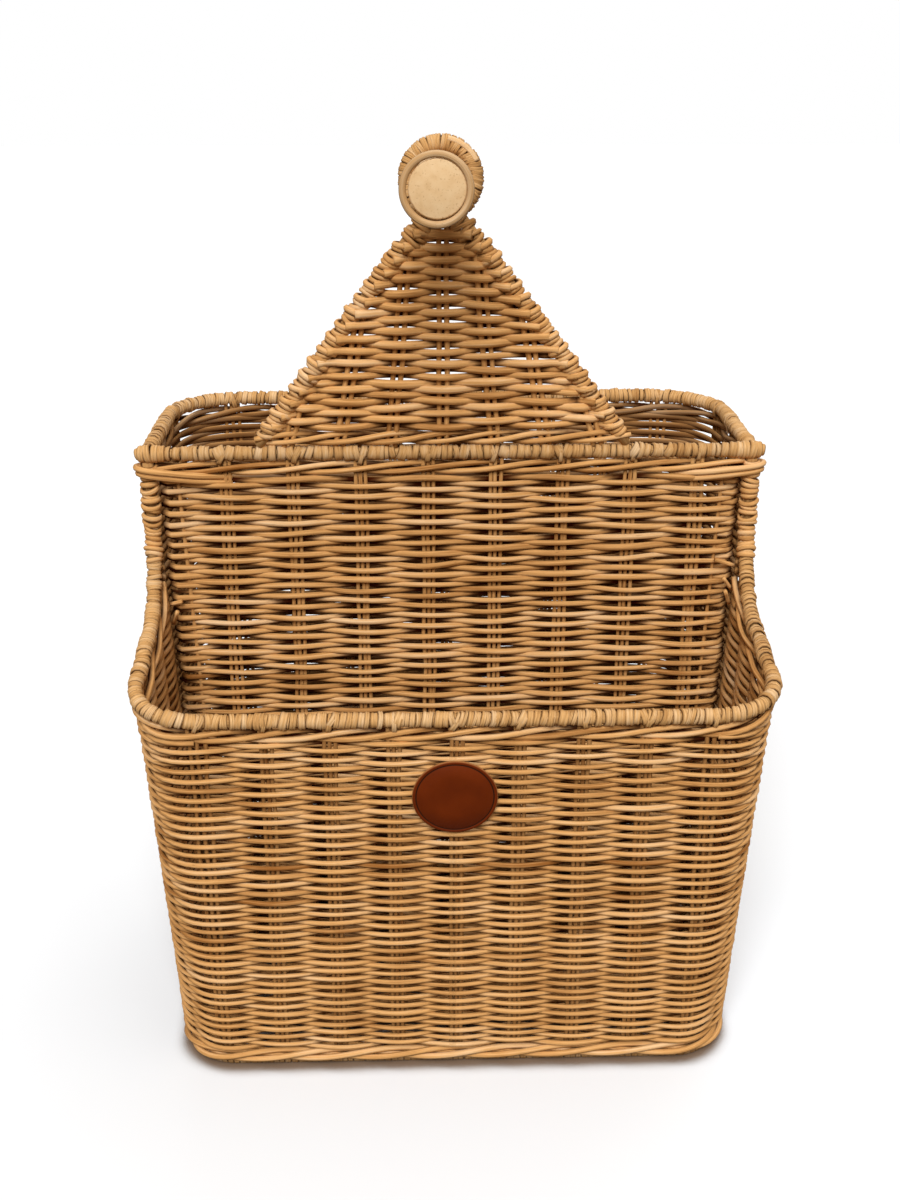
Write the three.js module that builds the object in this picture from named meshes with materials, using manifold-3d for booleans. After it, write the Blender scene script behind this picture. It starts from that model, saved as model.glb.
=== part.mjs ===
// Toilet paper basket in woven cane: a low front bin, a taller rear bin behind a divider,
// and a gable over the divider that holds a wooden roll peg in a bound hoop.
// Millimetres, +Z up, the front faces -Y, the origin lies on the floor under the middle.

import * as THREE from 'three';
import { LoftGeometry } from 'three/addons/geometries/LoftGeometry.js';
import { mergeVertices } from 'three/addons/utils/BufferGeometryUtils.js';
import Module from 'manifold-3d';

// Plan of the wall along the middle of its thickness, at floor level
const BODY_WIDTH = 336.6;
const FRONT_DEPTH = 109.4;
const REAR_DEPTH = 119.3;
const CORNER_RADIUS = 32;
// Outward lean for each millimetre of height: of the front, of the sides and the back,
// and what the middle of a front corner adds to it
const FLARE = 0.043;
const SIDE_FLARE = 0.041;
const CORNER_KICK = 0.042;

// Heights of the rims' centre lines, and the sweep of the side rims up to the divider
const FRONT_RIM_Z = 245;
const DIVIDER_RISE = 120;
const SIDE_RISE = 22;
const SWEEP_RISE = 53;
const SWEEP_RUN = 60;

// Canes and reeds
const STAKE_D = 2.2;
const WALL_STAKES = 3;
const GABLE_STAKES = 2;
const WEAVER_D = 3;
const WALE_D = 8.4;
const RIM_D = 9.4;
const RIM_CANE_D = 6.6;
const GABLE_CANE_D = 6.6;
const STAKE_BEND = 12;

// The weave's ribs: each is a band of three weavers on the wall and the divider, of two on the gable.
// A skin is what a band leaves outside the stakes that it passes behind: more round the wall's corners,
// where the stakes lie askew in the wall
const WALL_BAND = 8.5;
const DIVIDER_BAND = 10.2;
const GABLE_BAND = 8;
const BAND_SKIN = 0.5;
const CORNER_SKIN = 1.9;

// Foot and bottom
const FOOT_H = 7.5;
const LAYER_GAP = 1.4;
const MAT_SKIN = 0.9;

// Stakes round the wall, with those of the front and back in common, and on the divider and gable.
// An end gap runs from the wall's middle, or the leaning cane's, to the outermost stakes of a level row
const STAKES_ROUND = 30;
const STAKES_FRONT = 9;
const DIVIDER_STAKES = 8;
const DIVIDER_END_GAP = 27.8;
const DIVIDER_SHIFT = 6.5;
const GABLE_GROUPS = 7;
const GABLE_END_GAP = 17;
const GABLE_FAN = 350;

// Gable and peg: spans run between the centre lines of the two leaning canes
const GABLE_FOOT_SPAN = 222;
const GABLE_HEAD_SPAN = 21.6;
const GABLE_SHIFT = -5;
const HOOP_SHIFT = -0.9;
const HOOP_RISE = 160;
const HOOP_TUBE_D = 9.4;
const PEG_D = 29;
const PEG_REACH = 122;
const PEG_BACK = 12;
const PEG_EDGE = 1;
const PEG_TILT = THREE.MathUtils.degToRad(4);
const PEG_TURN = THREE.MathUtils.degToRad(2);
const COLLAR_CANE_D = 3.7;

// Leather badge on the front wall
const BADGE_W = 49;
const BADGE_H = 47;
const BADGE_T = 1.8;
const BADGE_Z = 196;

// Clearance between pieces that touch, and how far a trimming block stands outside what it trims
const SEAT = 0.3;
const TRIM = 1;

// Facets: steps in a plan corner, in a rim's sweep and in a stake's bend, sides of a cane, a peg
const CORNER_STEPS = 6;
const SWEEP_STEPS = 8;
const BEND_STEPS = 3;
const CANE_SIDES = 8;
const ROUND_SIDES = 24;

// Sizes that follow from these
const WALL_T = STAKE_D + 2 * WEAVER_D;
const HALF_WIDTH = BODY_WIDTH / 2;
const HALF_DEPTH = (FRONT_DEPTH + REAR_DEPTH) / 2;
const DIVIDER_Y = FRONT_DEPTH - HALF_DEPTH;
const DIVIDER_RIM_Z = FRONT_RIM_Z + DIVIDER_RISE;
const HOOP_Z = DIVIDER_RIM_Z + HOOP_RISE;
const RIM_TO_WALE = RIM_D / 2 + SEAT + WALE_D / 2;
const RIM_TO_WEAVE = RIM_D / 2 + SEAT + WALE_D + SEAT;
const FOOT_WALE_Z = FOOT_H + SEAT + WALE_D / 2;
const WEAVE_FOOT_Z = FOOT_H + SEAT + WALE_D + SEAT;
const LOWER_LAYER_Z = FOOT_H + SEAT + STAKE_D / 2;
const UPPER_LAYER_Z = LOWER_LAYER_Z + STAKE_D + LAYER_GAP;
const MAT_BOTTOM_Z = LOWER_LAYER_Z - STAKE_D / 2 - SEAT - MAT_SKIN;
const MAT_TOP_Z = UPPER_LAYER_Z + STAKE_D / 2 + SEAT + MAT_SKIN;

// The outline is measured from the middle of the front, rightwards: flat, corner, side, corner, flat
const FLAT_X = HALF_WIDTH - CORNER_RADIUS;
const FLAT_Y = HALF_DEPTH - CORNER_RADIUS;
const CORNER_ARC = CORNER_RADIUS * Math.PI / 2;
const SIDE_START = FLAT_X + CORNER_ARC;
const SIDE_END = SIDE_START + 2 * FLAT_Y;
const BACK_START = SIDE_END + CORNER_ARC;
const HALF_ROUND = BACK_START + FLAT_X;
const POST_S = SIDE_START + FLAT_Y + DIVIDER_Y;
const STAKE_SPACING = 2 * HALF_ROUND / STAKES_ROUND;
const DIVIDER_SPACING = (BODY_WIDTH - 2 * DIVIDER_END_GAP) / (DIVIDER_STAKES - 1);
const GABLE_SPACING = (GABLE_FOOT_SPAN - 2 * GABLE_END_GAP) / (GABLE_GROUPS - 1);

const wasm = await Module();
wasm.setup();

// The wall's lean at a place on half the outline: the front corners kick out more than the walls beside them
function leanAt(u) {
  if (u <= FLAT_X) return FLARE;
  if (u >= SIDE_START) return SIDE_FLARE;
  const turn = (u - FLAT_X) / CORNER_RADIUS;
  return FLARE + (SIDE_FLARE - FLARE) * Math.sin(turn) ** 2 + CORNER_KICK * Math.sin(2 * turn) ** 2;
}

// Point on the wall: s along the outline, z above the floor, d outward from the middle of the wall
function wallPoint(s, z, d) {
  const across = Math.abs(s) > HALF_ROUND;
  const u = across ? 2 * HALF_ROUND - Math.abs(s) : Math.abs(s);
  const hand = (s < 0) === across ? 1 : -1;
  const out = leanAt(u) * z + d;
  let x = u;
  let y = -HALF_DEPTH - out;
  if (u > BACK_START) {
    x = FLAT_X - (u - BACK_START);
    y = HALF_DEPTH + out;
  } else if (u > SIDE_END) {
    const turn = (u - SIDE_END) / CORNER_RADIUS;
    x = FLAT_X + (CORNER_RADIUS + out) * Math.cos(turn);
    y = FLAT_Y + (CORNER_RADIUS + out) * Math.sin(turn);
  } else if (u > SIDE_START) {
    x = HALF_WIDTH + out;
    y = u - SIDE_START - FLAT_Y;
  } else if (u > FLAT_X) {
    const turn = (u - FLAT_X) / CORNER_RADIUS;
    x = FLAT_X + (CORNER_RADIUS + out) * Math.sin(turn);
    y = -FLAT_Y - (CORNER_RADIUS + out) * Math.cos(turn);
  }
  return new THREE.Vector3(hand * x, y, z);
}

// Places along the outline from one s to another where a faceted piece needs a section
function outlineStops(from, to) {
  const stops = [from, to];
  for (const start of [FLAT_X, SIDE_END]) {
    for (let i = 0; i <= CORNER_STEPS; i++) {
      const s = start + CORNER_ARC * i / CORNER_STEPS;
      stops.push(s, -s, 2 * HALF_ROUND - s);
    }
  }
  return [...new Set(stops)].filter((s) => s >= from && s <= to).sort((a, b) => a - b);
}

// A side rim's height at a distance t in front of the divider, and the slope's unit normal downwards
function sweepAt(t) {
  const rise = FRONT_RIM_Z + SIDE_RISE;
  if (t < SWEEP_RUN) {
    const turn = Math.acos(1 - Math.max(t, 0) / SWEEP_RUN);
    const normal = new THREE.Vector2(-SWEEP_RISE * Math.cos(turn), -SWEEP_RUN * Math.sin(turn));
    return { t, z: rise + SWEEP_RISE * (1 - Math.sin(turn)), normal: normal.normalize() };
  }
  const run = POST_S - FLAT_X - SWEEP_RUN;
  const share = Math.min((t - SWEEP_RUN) / run, 1);
  const slope = -SIDE_RISE * 6 * share * (1 - share) / run;
  const z = rise - SIDE_RISE * share * share * (3 - 2 * share);
  return { t, z, normal: new THREE.Vector2(slope, -1).normalize() };
}

// Height of a line that hangs a set distance below the rim, measured square to the rim
function hangBelow(s, drop) {
  const u = Math.abs(s) > HALF_ROUND ? 2 * HALF_ROUND - Math.abs(s) : Math.abs(s);
  if (u >= POST_S + RIM_D / 2 + SEAT) return DIVIDER_RIM_Z - drop;
  const t = Math.max(POST_S - u, 0);
  let lowest = Infinity;
  const samples = 64;
  for (let i = -samples; i <= samples; i++) {
    const away = drop * i / samples;
    if (t + away < 0) continue;
    lowest = Math.min(lowest, sweepAt(t + away).z - Math.sqrt(drop * drop - away * away));
  }
  return lowest;
}

// Places on the right-hand rim, from the divider to the front, where a faceted piece needs a section
const sweepStops = [];
for (let i = 0; i <= SWEEP_STEPS; i++) {
  sweepStops.push(SWEEP_RUN * (1 - Math.cos(i * Math.PI / 2 / SWEEP_STEPS)));
}
for (const s of outlineStops(FLAT_X, SIDE_START).reverse()) {
  if (POST_S - s > SWEEP_RUN) sweepStops.push(POST_S - s);
}

// Points of s and z that follow the right-hand rim at a set distance below it
function besideSweep(drop) {
  const points = sweepStops.map(sweepAt).map(({ t, z, normal }) => (
    [POST_S - t - normal.x * drop, z + normal.y * drop]
  ));
  return points.filter(([s]) => s <= POST_S);
}

// Centre line of a cane that follows the front and side rims at a set distance below them
function frontRoute(drop, lead = []) {
  const right = [...lead, ...besideSweep(drop)];
  const left = right.map(([s, z]) => [-s, z]);
  return [...left, ...right.reverse()].map(([s, z]) => wallPoint(s, z, 0));
}

// A run of straight lengths that an extrusion follows from point to point
class Route extends THREE.Curve {
  constructor(points) {
    super();
    this.points = points;
    this.last = points.length - 1;
  }

  getPoint(share, target = new THREE.Vector3()) {
    const place = share * this.last;
    const i = Math.min(Math.floor(place), this.last - 1);
    return target.lerpVectors(this.points[i], this.points[i + 1], place - i);
  }

  getPointAt(share, target) {
    return this.getPoint(share, target);
  }

  getTangentAt(share, target = new THREE.Vector3()) {
    const i = Math.round(share * this.last);
    const next = this.points[Math.min(i + 1, this.last)];
    return target.subVectors(next, this.points[Math.max(i - 1, 0)]).normalize();
  }
}

function sweep(shape, points) {
  return new THREE.ExtrudeGeometry(shape, {
    steps: points.length - 1,
    extrudePath: new Route(points),
    curveSegments: CANE_SIDES / 2,
  });
}

function roundSection(diameter, bore = 0) {
  const shape = new THREE.Shape().absarc(0, 0, diameter / 2, 0, 2 * Math.PI);
  if (bore) shape.holes.push(new THREE.Path().absarc(0, 0, bore / 2, 0, 2 * Math.PI));
  return shape;
}

// Section of stakes laid side by side, wide along x, or along y where the extrusion starts upright
function stakeSection(count, upright = false) {
  const half = count * STAKE_D / 2;
  const nose = STAKE_D / 2;
  const right = [[half - nose, -nose], [half, 0], [half - nose, nose]];
  const points = [...right, ...right.map(([x, y]) => [-x, -y])];
  return new THREE.Shape(points.map(([x, y]) => (
    upright ? new THREE.Vector2(-y, x) : new THREE.Vector2(x, y)
  )));
}

// Section of the channel that clears them
function channelSection(count, upright = false) {
  const half = count * STAKE_D / 2 + SEAT;
  const thick = STAKE_D / 2 + SEAT;
  const [x, y] = upright ? [thick, half] : [half, thick];
  return new THREE.Shape([[-x, -y], [x, -y], [x, y], [-x, y]].map((p) => new THREE.Vector2(...p)));
}

// The same run of points, longer at both ends
function lengthened(points, extra) {
  const longer = points.map((point) => point.clone());
  for (const [end, next] of [[0, 1], [points.length - 1, points.length - 2]]) {
    const along = new THREE.Vector3().subVectors(points[end], points[next]).setLength(extra);
    longer[end].add(along);
  }
  return longer;
}

function toSolid(geometry) {
  const plain = new THREE.BufferGeometry().copy(geometry);
  plain.deleteAttribute('normal');
  plain.deleteAttribute('uv');
  const merged = mergeVertices(plain, 1e-4);
  return new wasm.Manifold(new wasm.Mesh({
    numProp: 3,
    vertProperties: new Float32Array(merged.attributes.position.array),
    triVerts: new Uint32Array(merged.index.array),
  }));
}

function toGeometry(solid) {
  const { vertProperties, triVerts } = solid.getMesh();
  const result = new THREE.BufferGeometry();
  result.setAttribute('position', new THREE.BufferAttribute(vertProperties, 3));
  result.setIndex(new THREE.BufferAttribute(triVerts, 1));
  result.computeVertexNormals();
  return result;
}

function cut(geometry, cutters) {
  let solid = toSolid(geometry);
  for (const cutter of cutters) solid = solid.subtract(toSolid(cutter));
  return toGeometry(solid);
}

function trimmed(geometry, block) {
  return toGeometry(toSolid(geometry).intersect(toSolid(block)));
}

function finish(color, roughness) {
  return new THREE.MeshStandardMaterial({ color, roughness, metalness: 0 });
}

function piece(parent, name, geometry, material) {
  const mesh = new THREE.Mesh(geometry, material);
  mesh.name = name;
  parent.add(mesh);
  return mesh;
}

const basket = new THREE.Group();

// Wall stakes: bundles of reeds bent up from the bottom, from front to back and from side to side
const stakeFinish = finish(0xa9774a, 0.7);
const stakeChannels = [];

function uprightStake(name, ends, layerZ) {
  const legs = ends.map((place) => {
    const half = WALL_STAKES * STAKE_D / 2;
    const tops = [-half, 0, half].map((side) => hangBelow(place + side, RIM_D / 2 + SEAT));
    const bend = new THREE.QuadraticBezierCurve3(
      wallPoint(place, layerZ + STAKE_BEND, 0),
      wallPoint(place, layerZ, 0),
      wallPoint(place, layerZ, -STAKE_BEND),
    );
    return [wallPoint(place, Math.min(...tops), 0), ...bend.getPoints(BEND_STEPS)];
  });
  const run = [...legs[0], ...legs[1].reverse()];
  const channel = sweep(channelSection(WALL_STAKES), lengthened(run, SEAT));
  stakeChannels.push({ channel, places: ends });
  piece(basket, name, sweep(stakeSection(WALL_STAKES), run), stakeFinish);
}

for (let i = 0; i < STAKES_FRONT; i++) {
  const s = (i - (STAKES_FRONT - 1) / 2) * STAKE_SPACING;
  const behind = s < 0 ? -HALF_ROUND - s : HALF_ROUND - s;
  uprightStake(`front_back_stake_${i + 1}`, [s, behind], LOWER_LAYER_Z);
}
const STAKES_SIDE = STAKES_ROUND / 2 - STAKES_FRONT;
for (let i = 0; i < STAKES_SIDE; i++) {
  const s = (i + (STAKES_FRONT + 1) / 2) * STAKE_SPACING;
  uprightStake(`side_to_side_stake_${i + 1}`, [s, -s], UPPER_LAYER_Z);
}
const allChannels = stakeChannels.map(({ channel }) => channel);

// Woven bottom: a mat worked round the crossing stakes, inside the foot of the wall
function roundedPlate(halfWidth, halfDepth, radius) {
  const shape = new THREE.Shape();
  const quarter = Math.PI / 2;
  const corners = [[1, 1], [-1, 1], [-1, -1], [1, -1]];
  corners.forEach(([sx, sy], i) => {
    shape.absarc(sx * (halfWidth - radius), sy * (halfDepth - radius), radius,
      i * quarter, (i + 1) * quarter);
  });
  return shape;
}

const matInset = WALE_D / 2 + SEAT - FLARE * MAT_BOTTOM_Z;
const matShape = roundedPlate(
  HALF_WIDTH - matInset,
  HALF_DEPTH - matInset,
  CORNER_RADIUS - matInset,
);
const mat = new THREE.ExtrudeGeometry(matShape, {
  depth: MAT_TOP_Z - MAT_BOTTOM_Z,
  bevelEnabled: false,
  curveSegments: CORNER_STEPS,
});
mat.translate(0, 0, MAT_BOTTOM_Z);
piece(basket, 'base_mat', cut(mat, allChannels), finish(0xae7f4f, 0.75));

// Foot: a flat-bottomed lashed border that the basket stands on, and the waling above it
function ringRound(profile) {
  const stops = outlineStops(-HALF_ROUND, HALF_ROUND);
  return new LoftGeometry(stops.map((s) => profile.map(([d, z]) => wallPoint(s, z, d))));
}

const footHalf = WALL_T / 2;
const footChamfer = WALL_T / 4;
piece(basket, 'foot_border', ringRound([
  [-footHalf, 0],
  [-footHalf, FOOT_H - footChamfer],
  [-footHalf + footChamfer, FOOT_H],
  [footHalf - footChamfer, FOOT_H],
  [footHalf, FOOT_H - footChamfer],
  [footHalf, 0],
]), finish(0xb98a58, 0.6));

const waleOutline = Array.from({ length: CANE_SIDES }, (_, i) => {
  const turn = -(i + 0.5) * 2 * Math.PI / CANE_SIDES;
  const reach = WALE_D / 2 / Math.cos(Math.PI / CANE_SIDES);
  return [reach * Math.cos(turn), FOOT_WALE_Z + reach * Math.sin(turn)];
});
piece(basket, 'foot_waling', cut(ringRound(waleOutline), allChannels), finish(0xb4824e, 0.65));

// A sheet of weave. Places count the stakes, and each band passes in front of every other stake.
// pointAt gives the point at a place and height, d out towards the front of the sheet
function wovenSheet(places, foot, top, band, skin, pointAt, plainBack = false) {
  const crest = WALL_T / 2;
  const hollow = STAKE_D / 2 + SEAT + skin;
  const middle = (crest + hollow) / 2;
  const swing = (crest - hollow) / 2;
  const heights = [foot];
  for (let z = foot + band / 2; z < top - band / 4; z += band) heights.push(z);
  heights.push(top);
  const sections = places.map((place) => {
    const wave = heights.map((_, row) => swing * Math.cos(Math.PI * (place + row)));
    const front = heights.map((z, row) => pointAt(place, z, middle + wave[row]));
    const back = plainBack
      ? [foot, top].map((z) => pointAt(place, z, -crest))
      : heights.map((z, row) => pointAt(place, z, wave[row] - middle));
    return [...back, ...front.reverse()];
  });
  return new LoftGeometry(sections, { capStart: true, capEnd: true });
}

// Woven wall: four flat panels and four corners, one weave round the stakes, ribbed on the outside
function wallPanel(name, from, to, skin, extra = []) {
  const besideStake = CORNER_ARC / CORNER_STEPS / 2;
  const columns = outlineStops(from, to).filter((s) => (
    s === from || s === to || Math.abs(s - STAKE_SPACING * Math.round(s / STAKE_SPACING)) > besideStake
  ));
  const firstStake = Math.floor(from / STAKE_SPACING) + 1;
  for (let i = firstStake; i * STAKE_SPACING < to; i++) columns.push(i * STAKE_SPACING);
  const places = columns.sort((a, b) => a - b).map((s) => s / STAKE_SPACING);
  const pointAt = (place, z, d) => wallPoint(place * STAKE_SPACING, z, d);

  const stops = [...outlineStops(from - TRIM, to + TRIM), ...extra].sort((a, b) => a - b);
  const tops = stops.map((s) => hangBelow(s, RIM_TO_WEAVE));
  const half = WALL_T / 2 + TRIM;
  const low = WEAVE_FOOT_Z - TRIM;
  const block = new LoftGeometry(stops.map((s, i) => (
    [[-half, low], [-half, tops[i]], [half, tops[i]], [half, low]].map(([d, z]) => wallPoint(s, z, d))
  )), { capStart: true, capEnd: true });
  const high = Math.max(...tops) + TRIM;
  const sheet = wovenSheet(places, WEAVE_FOOT_Z, high, WALL_BAND, skin, pointAt, true);

  const round = 2 * HALF_ROUND;
  const margin = WALL_STAKES * STAKE_D;
  const near = stakeChannels.filter(({ places: ends }) => ends.some((end) => (
    [end, end + round, end - round].some((s) => s > from - margin && s < to + margin)
  )));
  const panel = cut(trimmed(sheet, block), near.map(({ channel }) => channel));
  piece(basket, name, panel, finish(0xb78a58, 0.65));
}

const seam = SEAT / 2;
const postBack = POST_S + RIM_D / 2 + SEAT;
const sweepPlaces = besideSweep(RIM_TO_WEAVE).map(([s]) => s);
const sideExtra = [postBack, postBack - SEAT, ...sweepPlaces.filter((s) => s > SIDE_START + SEAT)];
wallPanel('front_weave', -FLAT_X + seam, FLAT_X - seam, BAND_SKIN);
wallPanel('back_weave', BACK_START + seam, 2 * HALF_ROUND - BACK_START - seam, BAND_SKIN);
wallPanel('right_weave', SIDE_START + seam, SIDE_END - seam, BAND_SKIN, sideExtra);
wallPanel('left_weave', -SIDE_END + seam, -SIDE_START - seam, BAND_SKIN, sideExtra.map((s) => -s));
wallPanel('front_right_corner', FLAT_X + seam, SIDE_START - seam, CORNER_SKIN);
wallPanel('front_left_corner', -SIDE_START + seam, -FLAT_X - seam, CORNER_SKIN);
wallPanel('back_right_corner', SIDE_END + seam, BACK_START - seam, CORNER_SKIN);
wallPanel('back_left_corner', -BACK_START + seam, -SIDE_END - seam, CORNER_SKIN);

// Waling under the rims: a twisted band of reeds above the weave
const waleFinish = finish(0xb98752, 0.6);
const backWaleStops = outlineStops(postBack, 2 * HALF_ROUND - postBack);
const backWaleRun = backWaleStops.map((s) => wallPoint(s, DIVIDER_RIM_Z - RIM_TO_WALE, 0));
const waleSection = roundSection(WALE_D);
const frontWale = sweep(waleSection, frontRoute(RIM_TO_WALE));
piece(basket, 'front_waling', cut(frontWale, allChannels), waleFinish);
piece(basket, 'rear_waling', cut(sweep(waleSection, backWaleRun), allChannels), waleFinish);

// Rims: a bent cane in a sleeve of peel binding. The front rim's ends rise as the divider's posts
const caneFinish = finish(0xa87845, 0.6);
const bindingFinish = finish(0xc69a62, 0.5);

function boundRim(name, points) {
  piece(basket, `${name}_cane`, sweep(roundSection(RIM_CANE_D), points), caneFinish);
  const sleeve = roundSection(RIM_D, RIM_CANE_D + 2 * SEAT);
  piece(basket, `${name}_binding`, sweep(sleeve, points), bindingFinish);
}

const postTop = DIVIDER_RIM_Z - RIM_D / 2 - SEAT;
boundRim('front_rim', frontRoute(0, [[POST_S, postTop]]));
const rearStops = outlineStops(POST_S - RIM_D / 2, 2 * HALF_ROUND - POST_S + RIM_D / 2);
boundRim('rear_rim', rearStops.map((s) => wallPoint(s, DIVIDER_RIM_Z, 0)));
const rimEnd = wallPoint(POST_S, DIVIDER_RIM_Z, 0).x - RIM_D / 2 - SEAT;
boundRim('divider_rim', [
  new THREE.Vector3(-rimEnd, DIVIDER_Y, DIVIDER_RIM_Z),
  new THREE.Vector3(rimEnd, DIVIDER_Y, DIVIDER_RIM_Z),
]);

// Divider between the two bins: woven on its own upright stakes, with waling under its rim
const divider = new THREE.Group();
divider.position.y = DIVIDER_Y;
basket.add(divider);
const dividerFoot = MAT_TOP_Z + SEAT;
const dividerTop = DIVIDER_RIM_Z - RIM_TO_WEAVE;
const dividerInset = Math.max(WALL_T, RIM_D) / 2 + SEAT;
const dividerEdge = (z) => wallPoint(POST_S, z, 0).x - dividerInset;
const dividerX = (i) => DIVIDER_SHIFT + (i - (DIVIDER_STAKES - 1) / 2) * DIVIDER_SPACING;
const dividerChannels = [];
for (let i = 0; i < DIVIDER_STAKES; i++) {
  const ends = [dividerFoot, DIVIDER_RIM_Z - RIM_D / 2 - SEAT];
  const run = ends.map((z) => new THREE.Vector3(dividerX(i), 0, z));
  dividerChannels.push(sweep(channelSection(WALL_STAKES, true), lengthened(run, SEAT)));
  const stake = sweep(stakeSection(WALL_STAKES, true), run);
  piece(divider, `divider_stake_${i + 1}`, stake, stakeFinish);
}
const dividerPlaces = Array.from({ length: DIVIDER_STAKES + 2 }, (_, i) => i - 1);
const dividerPoint = (place, z, d) => {
  const edge = place < 0 ? -dividerEdge(z) : dividerEdge(z);
  const atEdge = place < 0 || place === DIVIDER_STAKES;
  return new THREE.Vector3(atEdge ? edge : dividerX(place), -d, z);
};
const dividerPanel = wovenSheet(
  dividerPlaces,
  dividerFoot,
  dividerTop,
  DIVIDER_BAND,
  BAND_SKIN,
  dividerPoint,
);
piece(divider, 'divider_weave', cut(dividerPanel, dividerChannels), finish(0xb58755, 0.65));
const dividerWaleZ = DIVIDER_RIM_Z - RIM_TO_WALE;
const dividerWale = sweep(waleSection, [
  new THREE.Vector3(-dividerEdge(dividerWaleZ), 0, dividerWaleZ),
  new THREE.Vector3(dividerEdge(dividerWaleZ), 0, dividerWaleZ),
]);
piece(divider, 'divider_waling', cut(dividerWale, dividerChannels), waleFinish);

// Gable: two leaning canes, a woven panel on fanned stakes between them, waling along its foot
const gable = new THREE.Group();
gable.position.set(GABLE_SHIFT, DIVIDER_Y, 0);
basket.add(gable);
const gableFootZ = DIVIDER_RIM_Z + RIM_D / 2 + SEAT;
const panelFootZ = gableFootZ + WALE_D + SEAT;
const caneHeads = [-1, 1].map((side) => new THREE.Vector2(HOOP_SHIFT + side * GABLE_HEAD_SPAN / 2, HOOP_Z));
const caneFeet = [-1, 1].map((side) => new THREE.Vector2(side * GABLE_FOOT_SPAN / 2, gableFootZ));

// The canes aim at points level with the underside of the hoop and run on until the hoop cuts them
const hoopRadius = PEG_D / 2 + SEAT + HOOP_TUBE_D / 2;
const hoopReach = hoopRadius + HOOP_TUBE_D / 2;
for (const head of caneHeads) head.y = HOOP_Z - Math.sqrt(hoopReach ** 2 - (GABLE_HEAD_SPAN / 2) ** 2);
const caneLean = caneFeet.map((foot, i) => (caneHeads[i].x - foot.x) / (caneHeads[i].y - foot.y));
const caneX = (i, z) => caneFeet[i].x + caneLean[i] * (z - gableFootZ);
const hoopClear = new THREE.CylinderGeometry(
  hoopReach + SEAT,
  hoopReach + SEAT,
  2 * WALL_T,
  ROUND_SIDES,
);
hoopClear.rotateX(-PEG_TILT).rotateZ(-PEG_TURN).translate(HOOP_SHIFT, 0, HOOP_Z);

const caneNames = ['gable_left_cane', 'gable_right_cane'];
caneNames.forEach((name, i) => {
  const foot = gableFootZ + GABLE_CANE_D / 2;
  const run = [foot, caneHeads[i].y + GABLE_CANE_D / 2].map((z) => new THREE.Vector3(caneX(i, z), 0, z));
  piece(gable, name, cut(sweep(roundSection(GABLE_CANE_D), run), [hoopClear]), caneFinish);
});

// Level distance from a cane's centre line to a piece that clears it
const besideCane = (i, clear) => (GABLE_CANE_D / 2 + clear) * Math.hypot(1, caneLean[i]);
const panelEdge = (i, z) => caneX(i, z) + (i ? -1 : 1) * besideCane(i, SEAT);

const gableFoot = (i) => (i - (GABLE_GROUPS - 1) / 2) * GABLE_SPACING;
const gableX = (i, z) => gableFoot(i) * (1 - (z - gableFootZ) / GABLE_FAN);
const gableChannels = [];
for (let i = 0; i < GABLE_GROUPS; i++) {
  const half = GABLE_STAKES * STAKE_D / 2 + 2 * SEAT;
  const stakeX = (z) => gableX(i, z);
  const inside = (z) => stakeX(z) - half > panelEdge(0, z) && stakeX(z) + half < panelEdge(1, z);
  let top = gableFootZ;
  const climb = 0.5;
  const under = HOOP_Z - hoopReach - SEAT;
  while (top + climb < under && inside(top + climb)) top += climb;
  const tipped = Math.abs(gableFoot(i)) / GABLE_FAN * GABLE_STAKES * STAKE_D / 2;
  const run = [gableFootZ + tipped, top].map((z) => new THREE.Vector3(stakeX(z), 0, z));
  gableChannels.push(sweep(channelSection(GABLE_STAKES, true), lengthened(run, SEAT)));
  piece(gable, `gable_stake_${i + 1}`, sweep(stakeSection(GABLE_STAKES, true), run), stakeFinish);
}
const panelHeadZ = caneHeads[0].y;
const gablePlaces = Array.from({ length: GABLE_GROUPS + 2 }, (_, i) => i - 1);
const gablePoint = (place, z, d) => new THREE.Vector3(gableX(place, z), -d, z);
const gableSheet = wovenSheet(gablePlaces, panelFootZ, panelHeadZ, GABLE_BAND, BAND_SKIN, gablePoint);
const [blockFoot, blockHead] = [panelFootZ - TRIM, panelHeadZ + TRIM];
const blockOutline = [
  [panelEdge(0, blockFoot), blockFoot],
  [panelEdge(1, blockFoot), blockFoot],
  [panelEdge(1, blockHead), blockHead],
  [panelEdge(0, blockHead), blockHead],
];
const blockShape = new THREE.Shape(blockOutline.map((corner) => new THREE.Vector2(...corner)));
const blockDepth = WALL_T + 2 * TRIM;
const gableBlock = new THREE.ExtrudeGeometry(blockShape, { depth: blockDepth, bevelEnabled: false });
gableBlock.rotateX(Math.PI / 2).translate(0, blockDepth / 2, 0);
const gableWeave = cut(trimmed(gableSheet, gableBlock), [hoopClear, ...gableChannels]);
piece(gable, 'gable_weave', gableWeave, finish(0xb98c5a, 0.65));
const gableWaleZ = gableFootZ + WALE_D / 2;
const gableWale = sweep(waleSection, [0, 1].map((i) => (
  new THREE.Vector3(panelEdge(i, gableFootZ + WALE_D), 0, gableWaleZ)
)));
piece(gable, 'gable_waling', cut(gableWale, gableChannels), waleFinish);

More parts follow.
